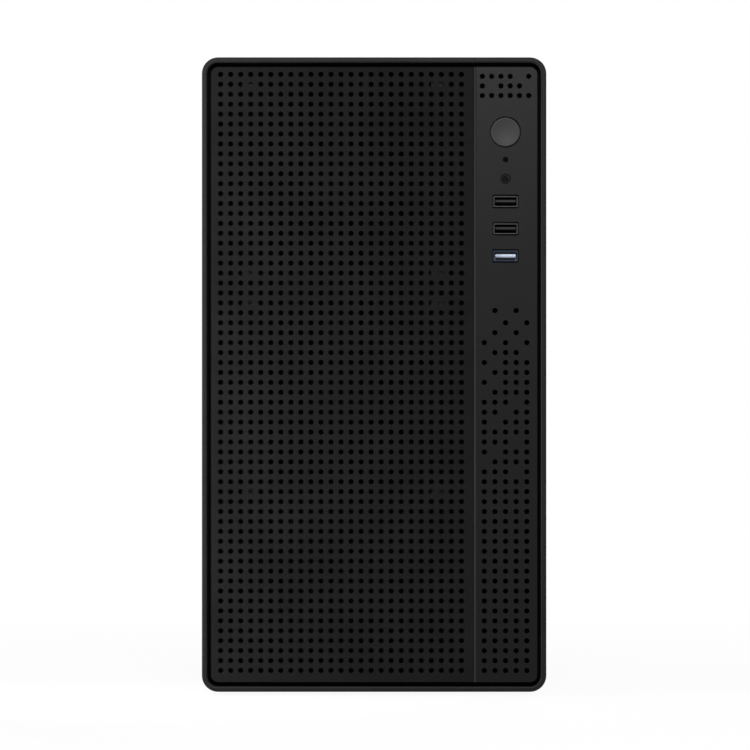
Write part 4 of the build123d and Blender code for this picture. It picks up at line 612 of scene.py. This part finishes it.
def small_parts():
    """Scatter chip resistors and capacitors over the free places of the motherboard."""
    draw = random.Random(SMALL_SEED)
    low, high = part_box("motherboard")
    standing = [surface_of(name) for name in ON_BOARD]
    boxes = {"small_dark_parts": [], "small_tan_parts": [], "small_part_ends": []}
    placed = []
    while len(placed) < SMALL_COUNT:
        size = draw.choice(SMALL_LONG_WIDE_TALL)
        upright = draw.random() < EVEN_ODDS
        kind = "small_tan_parts" if draw.random() < EVEN_ODDS else "small_dark_parts"
        y = draw.uniform(low.y + SMALL_EDGE, high.y - SMALL_EDGE)
        z = draw.uniform(low.z + SMALL_EDGE, high.z - SMALL_EDGE)
        if any(abs(p[0] - y) < SMALL_PITCH and abs(p[1] - z) < SMALL_PITCH for p in placed):
            continue
        half_long, half_wide = size[0] / 2 + SMALL_CLEAR, size[1] / 2 + SMALL_CLEAR
        halves = (half_wide, half_long) if upright else (half_long, half_wide)
        if not is_free(standing, low.x, y, z, *halves):
            continue
        placed.append((y, z))
        for piece, box in chip_boxes(size, upright, kind, low.x, y, z):
            boxes[piece].append(box)
    return boxes


def make_boxes(name, boxes, mat, slot):
    """One piece of many boxes, which rides on the chassis."""
    corners = []
    faces = []
    for box in boxes:
        first = len(corners)
        corners += [(x, y, z) for x in box[0] for y in box[1] for z in box[2]]
        faces += [[first + corner for corner in face] for face in BOX_FACES]
    mesh = bpy.data.meshes.new(name)
    mesh.from_pydata(corners, [], faces)
    mesh.materials.append(mat)
    piece = bpy.data.objects.new(name, mesh)
    bpy.context.scene.collection.objects.link(piece)
    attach(piece, "chassis")


# Camera, stage and lamps
make_camera()
make_floor()
make_surround()
for lamp_name, settings in LAMPS.items():
    make_lamp(lamp_name, *settings)

# A finish for each material slot of the record
tin = finish("tin", (0.6, 0.6, 0.6), 0.35, metallic=1.0)
slot_mats = {
    "bezel_plastic": bezel_finish(),
    "grille_metal": finish("grille", (0.0075, 0.0075, 0.0078), 0.9, gloss=0.03),
    "strip_plastic": strip_finish(),
    "button_plastic": button_finish(),
    "black_plastic": finish("plastic", (0.006, 0.006, 0.0065), 0.45, gloss=0.15),
    "lens": finish("lens", (0.001, 0.001, 0.0012), 0.35, gloss=0.012),
    "pale_plastic": pale_tongue_finish(),
    "socket_metal": shell_finish(),
    "case_metal": finish("coat", (0.017, 0.017, 0.0175), 0.8, gloss=0.06, depth=0.00004, vary=0.04),
    "plain_steel": zinc_finish("steel"),
    "screw_metal": dark_steel_finish("dark_steel"),
    "bright_metal": finish(
        "bare", (0.6, 0.61, 0.62), 0.33, metallic=1.0, vary=0.05, stretch=(1.0, 1.0, 0.04)
    ),
    "standoff_brass": finish("brass", (0.65, 0.48, 0.2), 0.3, metallic=1.0),
    "pin_metal": tin,
    "board": circuit_finish("circuit"),
    "board_part": can_finish(),
    "fan_plastic": finish("fan", (0.011, 0.011, 0.0115), 0.38, gloss=0.3),
    "rubber": finish("rubber", (0.018, 0.018, 0.018), 0.7, gloss=0.2),
    "cable": sleeve_finish(),
}
for entry in frame["record"]["subparts"]:
    dress(slot_mats[entry["material_slot"]], entry["node"])

# Nodes that differ from the rest of their slot
# Painted shade: the plate and front fans behind the grille are darker than their own finishes, so the
# holes read as shade
shade_black = finish("shade_black", (0.0025, 0.0025, 0.0026), 0.7, gloss=0.05)
socket_plastic = finish("socket_plastic", (0.011, 0.011, 0.0115), 0.42, gloss=0.3)
dress(shade_black, "front_plate", "front_fan_frames", "front_fan_lower_rotor", "front_fan_upper_rotor")
dress(dark_tongue_finish(), "usb2_tongues")
dress(headset_finish(), "headset_jack")
dress(socket_plastic, "board_connectors", "psu_sockets", "psu_rocker")
dress(module_finish(), "memory_modules")
dress(rear_jack_finish(), "rear_audio_jacks")
dress(shield_finish(), "io_shield")

# Small parts on the motherboard
small_looks = {
    "small_dark_parts": (socket_plastic, "board_part"),
    "small_tan_parts": (finish("tan", (0.22, 0.13, 0.07), 0.45, gloss=0.3), "board_part"),
    "small_part_ends": (tin, "pin_metal"),
}
for part_name, part_boxes in small_parts().items():
    make_boxes(part_name, part_boxes, *small_looks[part_name])

bpy.context.scene.view_settings.view_transform = "Standard"
